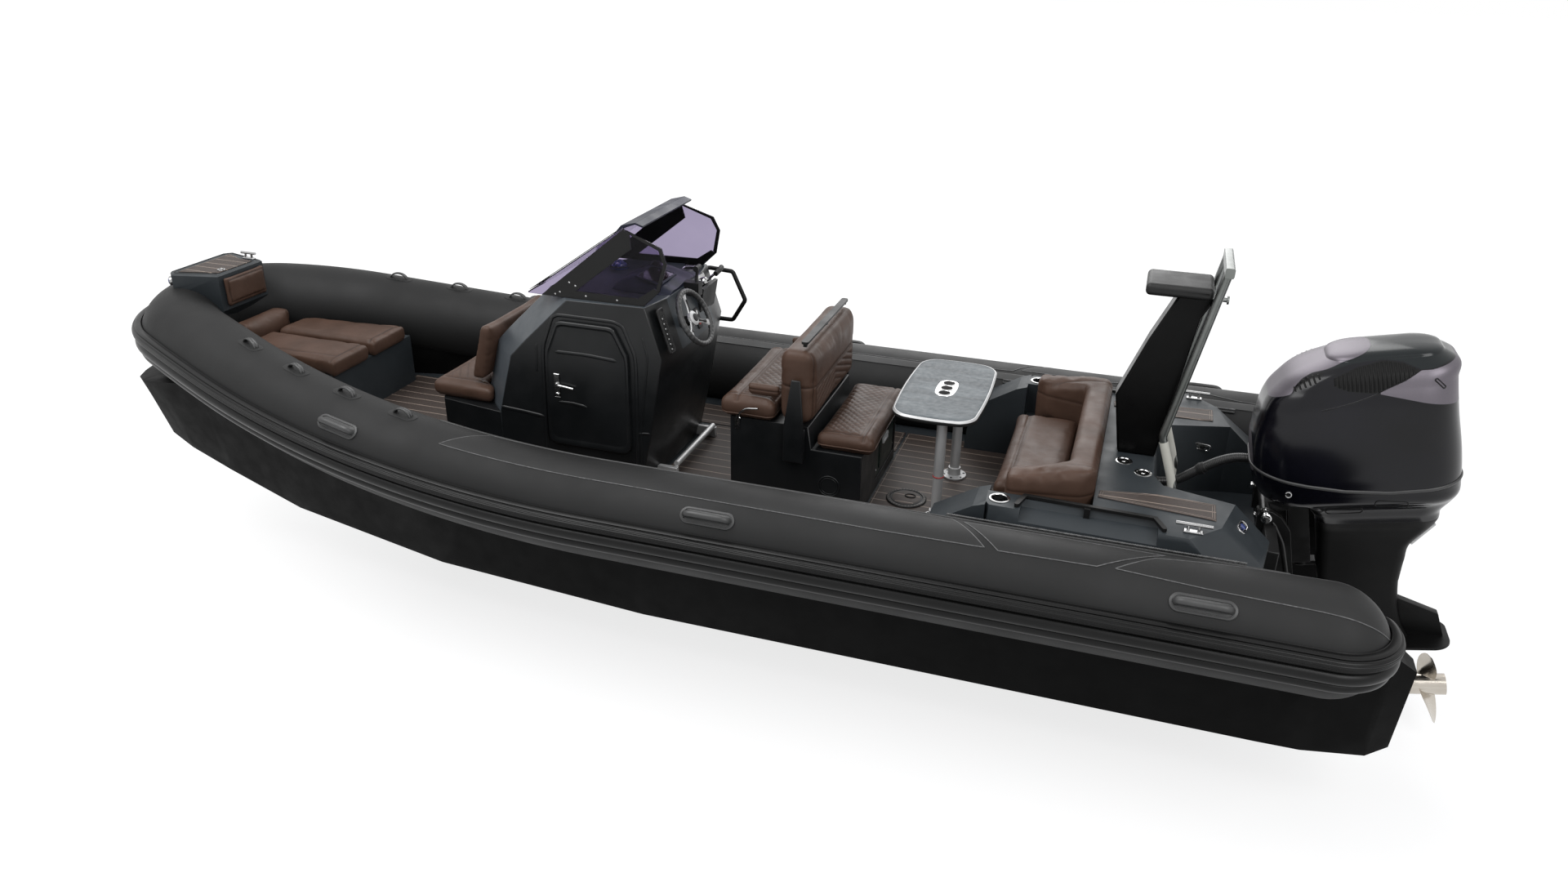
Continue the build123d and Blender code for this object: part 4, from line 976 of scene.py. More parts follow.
def table():
    """A board in three layers: marbled top, pale bevelled rim, black body below."""
    ring = bowed_ring(0.25, 0.465, 0.022, 0.09)

    def rows(steps):
        return np.stack([np.column_stack([ring * ((0.25 - d) / 0.25, (0.465 - d) / 0.465) + (TABLE_X, TABLE_Y),
                                          np.full(len(ring), TABLE_TOP + z)]) for d, z in steps])
    grid("table_body", rows([(0.06, -0.0318), (0.006, -0.0318), (0.0005, -0.027), (0.0, -0.018), (0.001, -0.0125),
                             (0.06, -0.012)]), black_moulding, slot="table_wood", replaces=("table_top",), angle=50)
    grid("table_rim", rows([(0.012, -0.0125), (0.001, -0.0125), (0.0008, -0.0105), (0.009, -0.0012), (0.012, -0.0006),
                            (0.016, -0.003)]), anodised, slot="table_wood", angle=30)
    grid("table_board", rows([(0.05, -0.01), (0.0135, -0.004), (0.0138, -0.0008), (0.015, -0.0002), (0.05, 0.0),
                              (0.15, 0.0), (0.235, 0.0)]), table_board, slot="table_wood", angle=40)


table()


def cup_insert():
    """A steel plate of three cups: an oval rim, and in each hole a rolled lip and a flat dark disc of painted shade
    over the hollow.
    """
    ring = bowed_ring(0.06, 0.125, 0.012, 0.03)
    steps = ((0.0, 0.0), (0.0005, 0.0014), (0.003, 0.0018), (0.008, 0.0012), (0.02, 0.001), (0.05, 0.0011))
    rows = [np.column_stack([ring * (1 - d / 0.06) + (TABLE_X, TABLE_Y), np.full(len(ring), TABLE_TOP + z)])
            for d, z in steps]
    grid("cup_insert_plate", np.stack(rows), polished, slot="stainless", replaces=("table_cup_insert",))
    for k in (-1, 0, 1):
        at = (TABLE_X, TABLE_Y + 0.076 * k, TABLE_TOP)
        turned(f"cup_lip_{k + 1}", [(0.0375, 0.0008), (0.0365, 0.0032), (0.034, 0.0036), (0.032, 0.0014),
                                    (0.0315, 0.001)], at, (0, 0, 1), polished, n=48, slot="stainless")
        # a flat matt black disc just above the plate: painted shade in place of the cup's hollow
        turned(f"cup_well_{k + 1}", [(0.0325, 0.0014), (0.0315, 0.0022), (0.0005, 0.0022)], at, (0, 0, 1), painted_well_shade,
               n=48, slot="stainless")


cup_insert()
refined("table_pedestals", anodised, 0.002, slot="aluminium", angle=40)
round_ring = np.linspace(0, TAU, 48, endpoint=False)
closed_bar("pedestal_ring", np.stack([1.785 + 0.0295 * np.cos(round_ring), 0.3 + 0.0295 * np.sin(round_ring),
           np.full(48, 0.76)], -1), 0.0035, red_ring, slot="aluminium")


def screw_heads(name, places, normal, r=0.006, material=polished, body="root", slot="stainless"):
    """Small domed screw heads on a face, joined in one piece."""
    profile = [(r, -0.0005), (r, 0.0008), (r * 0.7, 0.0022), (r * 0.05, 0.0026)]
    heads = [turned(f"{name}_{k}", profile, p, normal, material, body, n=16, slot=slot) for k, p in enumerate(places)]
    return join_up(name, heads)


screw_heads("pedestal_screws", [(1.785 + 0.06 * np.cos(a), y + 0.06 * np.sin(a), 0.497) for y in (0.3, -0.285)
            for a in np.linspace(0.4, TAU + 0.4, 6, endpoint=False)], (0, 0, 1), 0.007, black_moulding)

# ---------------------------------------------------------------- helm seat box
refined("backrest_grab_bar", powder_coat, 0.003, slot="black_rail")
refined("fridge_body", fridge_skin, 0.004, slot="fridge")
q = np.linspace(0, TAU, 64, endpoint=False)
for k, (r, bar) in enumerate(((0.062, 0.004), (0.05, 0.0025))):
    closed_bar(f"box_hatch_ring_{k}", np.stack([2.385 + r * np.cos(q), np.full(64, 0.431), 0.652 + r * np.sin(q)], -1),
               bar, console_gelcoat, up=(0, 1, 0), slot="liner")


def box_catch():
    """A folded steel catch at the corner of the helm box: an upright plate and a bent link."""
    plate = slab("box_catch_plate", [(2.955, 0.431, 0.93), (2.925, 0.431, 0.93), (2.92, 0.431, 1.0),
                                     (2.94, 0.431, 1.02), (2.96, 0.431, 0.99)], (0, 0.008, 0), polished,
                 slot="stainless")
    link = round_bar("box_catch_link", [(2.94, 0.44, 0.96), (2.925, 0.446, 1.03), (2.88, 0.46, 1.075),
                                        (2.80, 0.475, 1.09)], 0.006, polished, slot="stainless")
    mirror_y("box_catch_plate_starboard", plate, polished, slot="stainless")
    mirror_y("box_catch_link_starboard", link, polished, slot="stainless")


box_catch()


def fridge_front():
    """The fridge's door: a rounded panel, a raised centre, a pale handle recess and fittings."""
    def rows(x0, steps, y0, y1, z0, z1, r):
        cy, cz = (y0 + y1) / 2, (z0 + z1) / 2
        return np.stack([np.column_stack([np.full(48, x0 + d), rounded_ring((y1 - y0) / 2 - i, (z1 - z0) / 2 - i, r)
                                          + (cy, cz)]) for i, d in steps])
    body = "fridge_door"
    grid("fridge_door_panel", rows(2.2067, ((0.012, 0.028), (0.0, 0.026), (0.0, 0.004), (0.004, 0.0), (0.05, 0.0)),
         -0.395, 0.055, 0.545, 0.83, 0.014), fridge_skin, body, slot="fridge", replaces=("fridge_door",), angle=35)
    grid("fridge_door_raised", rows(2.2067, ((0.0, 0.001), (0.0, -0.003), (0.004, -0.006), (0.06, -0.0065)),
                                    -0.36, -0.03, 0.575, 0.8, 0.02), fridge_skin, body, slot="fridge", angle=35)
    grid("fridge_handle", rows(2.2005, ((0.0, 0.001), (0.0, -0.006), (0.003, -0.009), (0.012, -0.009), (0.014, -0.002),
         (0.02, -0.001)), -0.2, -0.08, 0.72, 0.77, 0.015), white_dot, body, slot="fridge", angle=35)
    screw_heads("fridge_buttons", [(2.206, 0.035, 0.6), (2.206, 0.035, 0.78), (2.206, -0.375, 0.6)], (-1, 0, 0), 0.006,
                white_dot, body, "fridge")


fridge_front()

# ---------------------------------------------------------------- console
# second finish: the front corner facets in their own grey, and faces looking up above 1.2 m lightened as a painted
# highlight of the light from above
two_tone(refined("console_shell", console_gelcoat, 0.007, slot="liner"), facet_and_lit_top_gelcoat,
         lambda n, c: ((np.abs(n[:, 1]) < 0.95) & (n[:, 0] > 0.25) & (np.abs(c[:, 1]) > 0.3))
         | ((n[:, 2] > 0.3) & (c[:, 2] > 1.2)))
two_tone(refined("console_rails", powder_coat, 0.003, slot="black_rail", angle=40), anodised,
         lambda n, c: c[:, 2] < 0.72)
refined("helm_controls", black_moulding, 0.005, slot="black_plastic", angle=40)
refined("windscreen_panes", acrylic, 0.001, slot="windscreen")
refined("windscreen_visor", hood_blue, 0.006, slot="black_plastic")
CHEEK = 0.4703


def ridge(name, points, r, material, body="root", out=(0, 1, 0), flat=0.6, slot="liner"):
    """A half-round bead standing on a face, carried through points and tapered at both ends."""
    path = eased(points, 14, 0.2)
    run = length_along(path)
    fine = spaced(path, max(run[-1] / 220, 0.004))
    out = np.asarray(out, float)
    side = units(np.cross(units(np.gradient(fine, axis=0)), out))
    along = length_along(fine)
    end = np.clip(np.minimum(along, along[-1] - along) / (2 * r), 0.02, 1) ** 0.5
    c, s = ring_of(14)
    pts = fine[:, None] + (r * end)[:, None, None] * (c[None, :, None] * side[:, None] + flat * s[None, :, None] * out)
    return grid(name, pts, material, body, slot=slot)


def console_side(side):
    """Beads on one side of the console: the double door frame, a moulding line and the corner creases."""
    y = side * CHEEK
    tag = "port" if side > 0 else "starboard"
    outer = [(4.165, y, 0.52), (4.165, y, 0.70), (4.15, y, 1.27), (4.07, y, 1.475), (4.03, y, 1.495), (3.68, y, 1.495),
             (3.62, y, 1.475), (3.545, y, 1.29), (3.56, y, 0.70), (3.56, y, 0.52)]
    ridge(f"door_surround_{tag}", outer, 0.011, console_gelcoat, out=(0, side, 0))
    if side < 0:
        inner = [(4.1, y, 0.69), (4.085, y, 1.26), (4.01, y, 1.44), (3.69, y, 1.44), (3.61, y, 1.28), (3.62, y, 0.69)]
        ridge("blank_door_starboard", inner, 0.009, console_gelcoat, out=(0, -1, 0))
    ridge(f"moulding_line_{tag}", [(4.47, y, 0.855), (4.3, y, 0.845), (4.175, y, 0.833)], 0.010, console_gelcoat,
          out=(0, side, 0))
    ridge(f"upper_crease_{tag}", [(4.19, y, 1.30), (4.19, y, 1.24), (4.20, y, 1.12)], 0.006, console_gelcoat,
          out=(0, side, 0))
    ridge(f"aft_crease_{tag}", [(3.50, y, 1.42), (3.47, y, 1.30), (3.53, y, 0.84), (3.54, y, 0.52)], 0.006,
          console_gelcoat, out=(0, side, 0))
    ridge(f"foot_crease_{tag}", [(3.55, y, 0.815), (3.475, y, 0.825)], 0.007, console_gelcoat, out=(0, side, 0))


console_side(1)
console_side(-1)


def door():
    """The console's port door: a crowned panel with a raised rim, two pressed creases and a steel T handle."""
    outline = np.array([(3.595, 0.675), (3.586, 1.29), (3.673, 1.464), (4.037, 1.464), (4.124, 1.262), (4.144, 0.675)])
    ring = eased(np.vstack([outline, outline[:2]]), 8, 0.12)[1:-1]
    centre = ring.mean(0)

    def rows(steps):
        return np.stack([np.column_stack([(ring - centre) * (1 - i) + centre, np.full(len(ring), 0)])[:, [0, 2, 1]]
                         + (0, 0.4703 + d, 0) for i, d in steps])
    grid("door_panel", rows([(0.0, 0.0), (0.0, 0.016), (0.012, 0.0215), (0.05, 0.0225), (0.075, 0.017), (0.1, 0.0155),
                             (0.5, 0.0165), (0.98, 0.017)]), console_gelcoat, "console_door", slot="liner",
         replaces=("console_door",), angle=35)
    b = "console_door"
    for k, (x0, x1, z, r) in enumerate(((4.06, 3.66, 1.275, 0.011), (4.06, 3.87, 0.955, 0.010))):
        ridge(f"door_crease_{k}", [(x0, 0.4865, z - 0.004), ((x0 + x1) / 2, 0.4865, z), (x1, 0.4865, z - 0.012)], r,
              console_gelcoat, b, flat=0.45)
    plate = slab("latch_plate", [(4.075, 0.488, 0.985), (4.04, 0.488, 0.985), (4.04, 0.488, 1.135),
                                 (4.075, 0.488, 1.135)], (0, 0.006, 0), polished, b, bevel=0.004, slot="stainless")
    bar = round_bar("latch_bar", [(4.063, 0.501, 1.065), (4.0, 0.504, 1.062), (3.945, 0.503, 1.055)], 0.008, polished,
                    b, slot="stainless")
    hub = turned("latch_hub", [(0.017, 0), (0.017, 0.012), (0.014, 0.017), (0.001, 0.0175)], (4.055, 0.492, 1.063),
                 (0, 1, 0), polished, b, slot="stainless")
    lock = turned("latch_lock", [(0.012, 0), (0.012, 0.006), (0.009, 0.009), (0.001, 0.009)], (4.057, 0.493, 1.005),
                  (0, 1, 0), polished, b, slot="stainless")
    join_up("door_latch", [plate, bar, hub, lock])


door()


def pane_point(x, z, lift=0.0):
    """A point standing on the port side pane: y = 440 - 25/715 (x - 3500) - 75/410 (z - 1600), in millimetres."""
    return (x, 0.44 - 25 / 715 * (x - 3.5) - 75 / 410 * (z - 1.6) + lift, z)


def screen_trim():
    """Black bands along the side panes' forward and lower edges, standing 3 mm proud on both faces, with screws."""
    band = [(4.15, 1.592), (3.985, 1.592), (3.585, 1.905), (3.60, 1.988), (3.64, 2.008)]
    lower = [(3.985, 1.592), (3.504, 1.592), (3.40, 1.69), (3.435, 1.705), (3.53, 1.64), (3.93, 1.637)]
    aft = [(3.40, 1.69), (3.364, 1.842), (3.40, 1.926), (3.62, 2.004), (3.60, 1.985), (3.415, 1.915), (3.382, 1.842),
           (3.418, 1.702)]
    for name, outline in (("screen_band", band), ("screen_foot", lower), ("screen_edge", aft)):
        pts = np.array([pane_point(x, z, -0.0025) for x, z in outline])
        one = slab(name + "_port", pts, (0, 0.0115, 0), powder_coat, bevel=0.001, slot="black_plastic")
        mirror_y(name + "_starboard", one, powder_coat, slot="black_plastic")
    spots = [(4.03, 1.62), (4.06, 1.605), (3.97, 1.68), (3.93, 1.665), (3.86, 1.615), (3.66, 1.615)]
    heads = screw_heads("screen_screws_port", [pane_point(x, z, 0.0092) for x, z in spots], (0, 1, 0), 0.006)
    mirror_y("screen_screws_starboard", heads, polished, slot="stainless")
    for side in (1, -1):
        y0, y1 = 0.405, 0.33
        edge = [(4.235, side * y0, 1.60), (3.655, side * y1, 2.003), (3.655, side * (y1 - 0.05), 2.003),
                (4.235, side * (y0 - 0.05), 1.60)]
        slab(f"screen_front_band_{side + 1}", np.array(edge) + (0.0045, 0, 0.0066), (0.00114, 0, 0.00164), powder_coat,
             bevel=0.0005, slot="black_plastic")
    foot = np.array([(4.24, -0.4, 1.597), (4.24, 0.4, 1.597), (4.17, 0.39, 1.646), (4.17, -0.39, 1.646)])
    slab("screen_front_foot", foot + (0.0045, 0, 0.0066), (0.00114, 0, 0.00164), powder_coat, bevel=0.0005,
         slot="black_plastic")


screen_trim()


def dash():
    """What stands on the dash: binnacle, two screens, compass and two cups."""
    rows = []
    for x, half, low, high in ((3.815, 0.20, 1.598, 1.604), (3.78, 0.21, 1.598, 1.645), (3.70, 0.235, 1.59, 1.678),
                               (3.60, 0.25, 1.575, 1.672), (3.50, 0.255, 1.565, 1.642), (3.44, 0.25, 1.56, 1.615)):
        y = np.linspace(-1, 1, 25)
        crown = high - (high - low) * np.abs(y) ** 5 + 0.004 * np.cos(y * 9)
        rows.append(np.stack([np.full(27, x), np.concatenate([[-half], half * y, [half]]),
                              np.concatenate([[low - 0.01], crown, [low - 0.01]])], -1))
    grid("binnacle", np.stack(rows), hood_blue, slot="black_plastic")

    def tilted(name, x, y, z, a, b, t, material, edge, turn=0.0, slope=0.28):
        """A display lying back by a slope on the binnacle: a frame and a dark pane."""
        lie = np.array((np.cos(slope), 0, np.sin(slope)))
        n = np.array((-np.sin(slope), 0, np.cos(slope)))
        u = np.cos(turn) * lie + np.sin(turn) * np.array((0, 1.0, 0))
        v = np.cross(n, u)
        rim = ((0, 0), (0, t), (0.004, t + 0.004), (0.012, t + 0.004), (0.014, t + 0.001))
        glass = ((0.013, t), (0.0135, t + 0.0015), (min(a, b) * 0.98, t + 0.0018))
        for tag, steps, mat in (("frame", rim, edge), ("pane", glass, material)):
            rings = [(rounded_ring(a - i, b - i, 0.012), d) for i, d in steps]
            pts = [np.array((x, y, z)) + ring[:, :1] * u + ring[:, 1:] * v + d * n for ring, d in rings]
            grid(f"{name}_{tag}", np.stack(pts), mat, slot="black_plastic", angle=35)
    tilted("plotter", 3.585, 0.075, 1.664, 0.085, 0.12, 0.006, screen_black, hood_blue, 0.0, 0.22)
    tilted("small_screen", 3.66, -0.115, 1.668, 0.045, 0.062, 0.006, screen_black, black_moulding, 0.15, 0.2)
    q = np.linspace(0, np.pi / 2, 9)
    turned("compass_bowl", np.concatenate([[(0.058, 0), (0.06, 0.012), (0.052, 0.016)],
           np.stack([0.046 * np.cos(q), 0.016 + 0.034 * np.sin(q)], -1)]), (3.96, -0.21, 1.598), (0, 0, 1), light_lens,
           slot="black_plastic")
    closed_bar("compass_bezel", np.stack([3.96 + 0.056 * np.cos(round_ring), -0.21 + 0.056 * np.sin(round_ring),
               np.full(48, 1.612)], -1), 0.005, black_moulding, slot="black_plastic")
    for k, y in enumerate((-0.335, -0.425)):
        turned(f"dash_cup_{k}", [(0.034, -0.012), (0.036, 0.003), (0.041, 0.006), (0.045, 0.004), (0.045, -0.001)],
               (3.545 + 0.02 * k, y, 1.599), (0, 0, 1), polished, slot="stainless", n=48)
        # a flat matt black disc over each cup: painted shade in place of its hollow
        turned(f"dash_cup_well_{k}", [(0.035, 0.0008), (0.034, 0.0012), (0.001, 0.0012)], (3.545 + 0.02 * k, y, 1.599),
               (0, 0, 1), painted_well_shade, slot="black_plastic", n=40)


dash()
FACE = unit((-0.3, 0, 0.095))       # outward from the console's upper aft face


def face_point(z, y, lift=0.0):
    """A point on the console's upper aft face: x runs from 3345 at z 1300 to 3440 at z 1600."""
    return np.array((3.345 + 95 / 300 * (z - 1.3), y, z)) + lift * FACE


def face_plate(name, z0, z1, y0, y1, r, steps, material, slot="black_plastic"):
    """A rounded plate standing on the aft face in steps of inset and lift."""
    up = unit(face_point(1.6, 0) - face_point(1.3, 0))
    mid, length = face_point((z0 + z1) / 2, (y0 + y1) / 2), (z1 - z0) / up[2]
    rows = [mid + rounded_ring((y1 - y0) / 2 - i, length / 2 - i, r)[:, :1] * np.array((0, 1.0, 0))
            + rounded_ring((y1 - y0) / 2 - i, length / 2 - i, r)[:, 1:] * up + d * FACE for i, d in steps]
    return grid(name, np.stack(rows), material, slot=slot, angle=35)


PLATE = ((0, -0.001), (0, 0.004), (0.003, 0.007), (0.015, 0.0075))
face_plate("switch_panel", 1.32, 1.575, 0.345, 0.42, 0.012, ((0, -0.001), (0, 0.005), (0.004, 0.009), (0.010, 0.009),
           (0.014, 0.004), (0.02, 0.004)), black_moulding)
for k in range(7):
    z = 1.345 + 0.029 * k
    face_plate(f"rocker_{k}", z - 0.011, z + 0.011, 0.362, 0.404, 0.004, ((0, 0.002), (0, 0.008), (0.002, 0.011),
               (0.008, 0.009)), black_moulding)
screw_heads("switch_marks", [face_point(1.345 + 0.029 * k, 0.396, 0.0105) for k in range(7)], FACE, 0.0035, white_dot)
face_plate("horn_grille", 1.53, 1.565, 0.36, 0.405, 0.004, PLATE, black_moulding)
face_plate("key_panel", 1.33, 1.45, -0.075, -0.015, 0.01, PLATE, black_moulding)
screw_heads("key_switch", [face_point(1.425, -0.045, 0.007)], FACE, 0.013)
screw_heads("stop_button", [face_point(1.36, -0.045, 0.007)], FACE, 0.012, red_ring)
face_plate("throttle_plate", 1.49, 1.6, -0.30, -0.16, 0.015, PLATE, polished, "stainless")
throttle_foot = face_point(1.55, -0.23, 0.006)
turned("throttle_drum", [(0.036, 0), (0.036, 0.02), (0.03, 0.034), (0.012, 0.042), (0.001, 0.043)], throttle_foot, FACE,
       polished, slot="stainless")
round_bar("throttle_arm", [throttle_foot + 0.03 * FACE, throttle_foot + 0.07 * FACE + (0, 0, 0.03),
                           throttle_foot + 0.11 * FACE + (0.0, -0.01, 0.05)], 0.008, polished, slot="stainless")
round_bar("throttle_knob", [throttle_foot + 0.11 * FACE + (0, 0.035, 0.045),
                            throttle_foot + 0.118 * FACE + (0, -0.015, 0.055),
                            throttle_foot + 0.11 * FACE + (0, -0.065, 0.06)], 0.016, black_moulding,
          slot="black_plastic")


def wheel():
    """A three-spoke wheel in its own plane: a leather rim of radius 162, dished silver spokes and a round hub."""
    tilt = np.radians(28)
    at = np.array((3.3, 0.165, 1.47))
    n = np.array((-np.cos(tilt), 0, np.sin(tilt)))
    u = np.array((0, 1.0, 0))
    v = np.cross(n, u)
    b = "steering_wheel"
    a = np.linspace(0, TAU, 144, endpoint=False)
    spoke = np.cos(a)[:, None] * u + np.sin(a)[:, None] * v
    c, s = ring_of(20)
    r = 0.0165 + 0.0012 * np.cos(a * 36)
    rim = at + 0.162 * spoke[:, None] + r[:, None, None] * (c[:, None] * spoke[:, None] + s[:, None] * n)
    closed_grid("wheel_rim", rim, fitting_rubber, b, slot="black_plastic", replaces=("steering_wheel",))
    for k in range(3):
        q = np.radians(90 + 120 * k) + np.pi
        out, across = np.cos(q) * u + np.sin(q) * v, -np.sin(q) * u + np.cos(q) * v
        t = np.linspace(0, 1, 16)
        reach, half = 0.03 + 0.125 * t, 0.026 - 0.02 * np.sin(np.pi * np.clip(t * 1.1, 0, 1)) * 0.6 - 0.004 * t
        depth = -0.018 + 0.018 * t ** 1.5
        c2, s2 = ring_of(16)
        pts = at + reach[:, None, None] * out + (half[:, None] * c2)[..., None] * across + (
            depth[:, None] + 0.006 * s2)[..., None] * n
        grid(f"wheel_spoke_{k}", pts, anodised, b, slot="stainless")
        pts2 = at + (reach * 0.55 + 0.03)[:, None, None] * out + (half[:, None] * 0.45 * c2)[..., None] * across + (
            depth[:, None] * 0.6 + 0.002 + 0.003 * s2)[..., None] * n
        grid(f"wheel_inlay_{k}", pts2, black_moulding, b, slot="black_plastic")
    turned("wheel_hub", [(0.04, -0.03), (0.046, -0.022), (0.044, -0.006), (0.034, 0.0), (0.028, 0.0015),
                         (0.001, 0.003)], at, n, anodised, b, slot="stainless")
    turned("wheel_boss", [(0.024, 0.001), (0.023, 0.006), (0.018, 0.008), (0.001, 0.0085)], at, n, black_moulding, b,
           slot="black_plastic")
    back = at - 0.1 * n
    turned("wheel_bezel", [(0.07, -0.03), (0.07, -0.008), (0.062, 0.0), (0.045, 0.004), (0.04, 0.03), (0.036, 0.045)],
           back + (0.03, 0, 0.0), n, black_moulding, slot="black_plastic")


wheel()

# ---------------------------------------------------------------- bow
for side in (1, -1):
    tag = "port" if side > 0 else "starboard"
    n = unit((np.cos(np.radians(47)), side * np.sin(np.radians(47)), 0))
    turned(f"bow_light_{tag}", [(0.031, -0.012), (0.031, 0.002), (0.028, 0.008), (0.018, 0.0095), (0.001, 0.01)],
           (7.091, side * 0.27, 1.305), n, polished, slot="stainless", replaces=("nav_light",) if side > 0 else ())
    turned(f"bow_lens_{tag}", [(0.019, 0.008), (0.017, 0.013), (0.01, 0.0155), (0.001, 0.016)],
           (7.091, side * 0.27, 1.305), n, light_lens, slot="stainless")


def locker_catch():
    """A ring catch and a bead round the lid of the bow locker."""
    q = np.linspace(0, TAU, 40, endpoint=False)
    closed_bar("locker_ring", np.stack([6.80 + 0.022 * np.cos(q), 0.11 + 0.022 * np.sin(q), np.full(40, 1.371)], -1),
               0.004, polished, slot="stainless")
    ridge("locker_lid_line", [(6.765, 0.185, 1.363), (7.05, 0.262, 1.363), (7.085, 0.225, 1.363),
                              (7.085, -0.225, 1.363), (7.05, -0.262, 1.363), (6.765, -0.185, 1.363)], 0.004,
          black_moulding, out=(0, 0, 1))


locker_catch()

# ---------------------------------------------------------------- engine
TRIM = np.radians(12.5)
TILT_X, TILT_Z = 0.058, 0.768
PAN_FOOT = -0.085      # the lower pan's foot above the tilt tube, with the engine upright


def trimmed(points):
    """Points given with the engine upright about its tilt tube, in metres, turned by TRIM to where it stands."""
    x, y, z = np.moveaxis(np.asarray(points, float), -1, 0)
    return np.stack([TILT_X + x * np.cos(TRIM) + z * np.sin(TRIM), y, TILT_Z - x * np.sin(TRIM) + z * np.cos(TRIM)], -1)


def trimmed_way(way):
    """A direction given with the engine upright, turned to where it stands."""
    return trimmed(way) - trimmed((0.0, 0.0, 0.0))


# rows of the skin: z, front x, aft x, half width, in millimetres about the tilt tube
BODY = np.array([(-480, -245, -643, 68), (-360, -246, -668, 74), (-257, -246, -696, 81), (-180, -246, -765, 93),
                 (-137, -246, -802, 104), (-99, -243, -822, 124), (-40, -225, -830, 160), (35, -150, -885, 200),
                 (80, -10, -905, 250), (140, 40, -910, 270), (200, 57, -911, 280), (311, 62, -909, 286),
                 (519, 20, -894, 280), (690, -75, -890, 250), (775, -190, -893, 212), (826, -330, -826, 150)],
                float) * MM


def eased_rows(z, rows):
    """Rows at heights z by cubic Hermite pieces, whose slopes are the differences of the neighbouring rows."""
    t = rows[:, 0]
    slope = np.gradient(rows, t, axis=0)
    i = np.clip(np.searchsorted(t, z) - 1, 0, len(t) - 2)
    h = (t[i + 1] - t[i])[..., None]
    s = (z - t[i])[..., None] / h
    return ((2 * s ** 3 - 3 * s ** 2 + 1) * rows[i] + (s ** 3 - 2 * s ** 2 + s) * h * slope[i]
            + (3 * s ** 2 - 2 * s ** 3) * rows[i + 1] + (s ** 3 - s ** 2) * h * slope[i + 1])


def ring_columns():
    """For each column of a rounded rectangle: the place of its corner's centre (-1 to 1) and its angle."""
    corner, long, short = 16, 60, 18
    marks = [(1, 1), (-1, 1), (-1, -1), (1, -1)]
    sx, sy, phi = [], [], []
    for k, ((x, y), (x2, y2)) in enumerate(zip(marks, marks[1:] + marks[:1])):
        n = long if k % 2 == 0 else short
        q = np.linspace(0, 1, n, endpoint=False)[1:]
        sx += [np.full(corner, x), x + (x2 - x) * q]
        sy += [np.full(corner, y), y + (y2 - y) * q]
        phi += [np.linspace(k, k + 1, corner) * np.pi / 2, np.full(n - 1, (k + 1) * np.pi / 2)]
    return np.concatenate(sx), np.concatenate(sy), np.concatenate(phi)


SX, SY, PHI = ring_columns()


def body_ring(z, out=0.0):
    """The engine skin's points at each column's height z: a rounded rectangle with corners of 0.7 half widths."""
    _, front, aft, half = np.moveaxis(eased_rows(np.asarray(z, float), BODY), -1, 0)
    a = (front - aft) / 2
    r = 0.7 * np.minimum(half, a)
    x = (front + aft) / 2 + SX * (a - r) + (r + out) * np.cos(PHI)
    return np.stack([x, SY * (half - r) + (r + out) * np.sin(PHI), z + 0 * x], -1)


def body_side(x, z, out=0.0):
    """The skin's port point over a place (x, z) of its side view."""
    x, z = np.broadcast_arrays(np.asarray(x, float), np.asarray(z, float))
    _, front, aft, half = np.moveaxis(eased_rows(z, BODY), -1, 0)
    a = (front - aft) / 2
    r = 0.7 * np.minimum(half, a)
    u = np.clip(np.abs(x - (front + aft) / 2) - (a - r), 0, r * 0.995)
    return np.stack([x, half - r + np.sqrt(r ** 2 - u ** 2) + out, z], -1)


def inside_by(p, outline):
    """How far each (x, z) point lies inside a polygon, in metres, below zero outside it."""
    a = np.asarray(outline, float) * MM
    b = np.roll(a, -1, 0)
    ab = b - a
    ap = p[:, None] - a[None]
    t = np.clip((ap * ab).sum(-1) / (ab ** 2).sum(-1), 0, 1)
    gap = np.linalg.norm(ap - t[..., None] * ab, axis=-1).min(1)
    y, x = p[:, None, 1], p[:, None, 0]
    edge = (b[:, 0] - a[:, 0]) * (y - a[:, 1]) / (b[:, 1] - a[:, 1] + 1e-12) + a[:, 0]
    cross = ((a[:, 1] > y) != (b[:, 1] > y)) & (x < edge)
    return np.where(cross.sum(1) % 2 == 1, gap, -gap)


FRONT_TRIM = ((90, 600), (18, 627), (-142, 690), (-158, 722), (-195, 757), (-240, 780), (-303, 794), (-400, 822),
              (-545, 868), (-560, 1000), (90, 1000))
FRONT_STRIP = ((46, 640), (90, 640), (90, 250), (50, 250))
REAR_TRIM = ((-520, 681), (-640, 730), (-712, 772), (-760, 772), (-960, 800), (-960, 560), (-856, 586))
REAR_HOOD = ((-303, 792), (-420, 812), (-559, 822), (-640, 808), (-712, 776), (-760, 776), (-960, 815), (-960, 1000),
             (-562, 1000), (-549, 868), (-400, 826))
LOUVRE = ((-330, 762), (-345, 722), (-400, 697), (-489, 684), (-522, 684), (-640, 732), (-708, 772), (-640, 804),
          (-559, 817), (-440, 800))
FRONT_LOUVRE = ((-150, 700), (-165, 728), (-200, 756), (-245, 776), (-300, 789), (-250, 745))


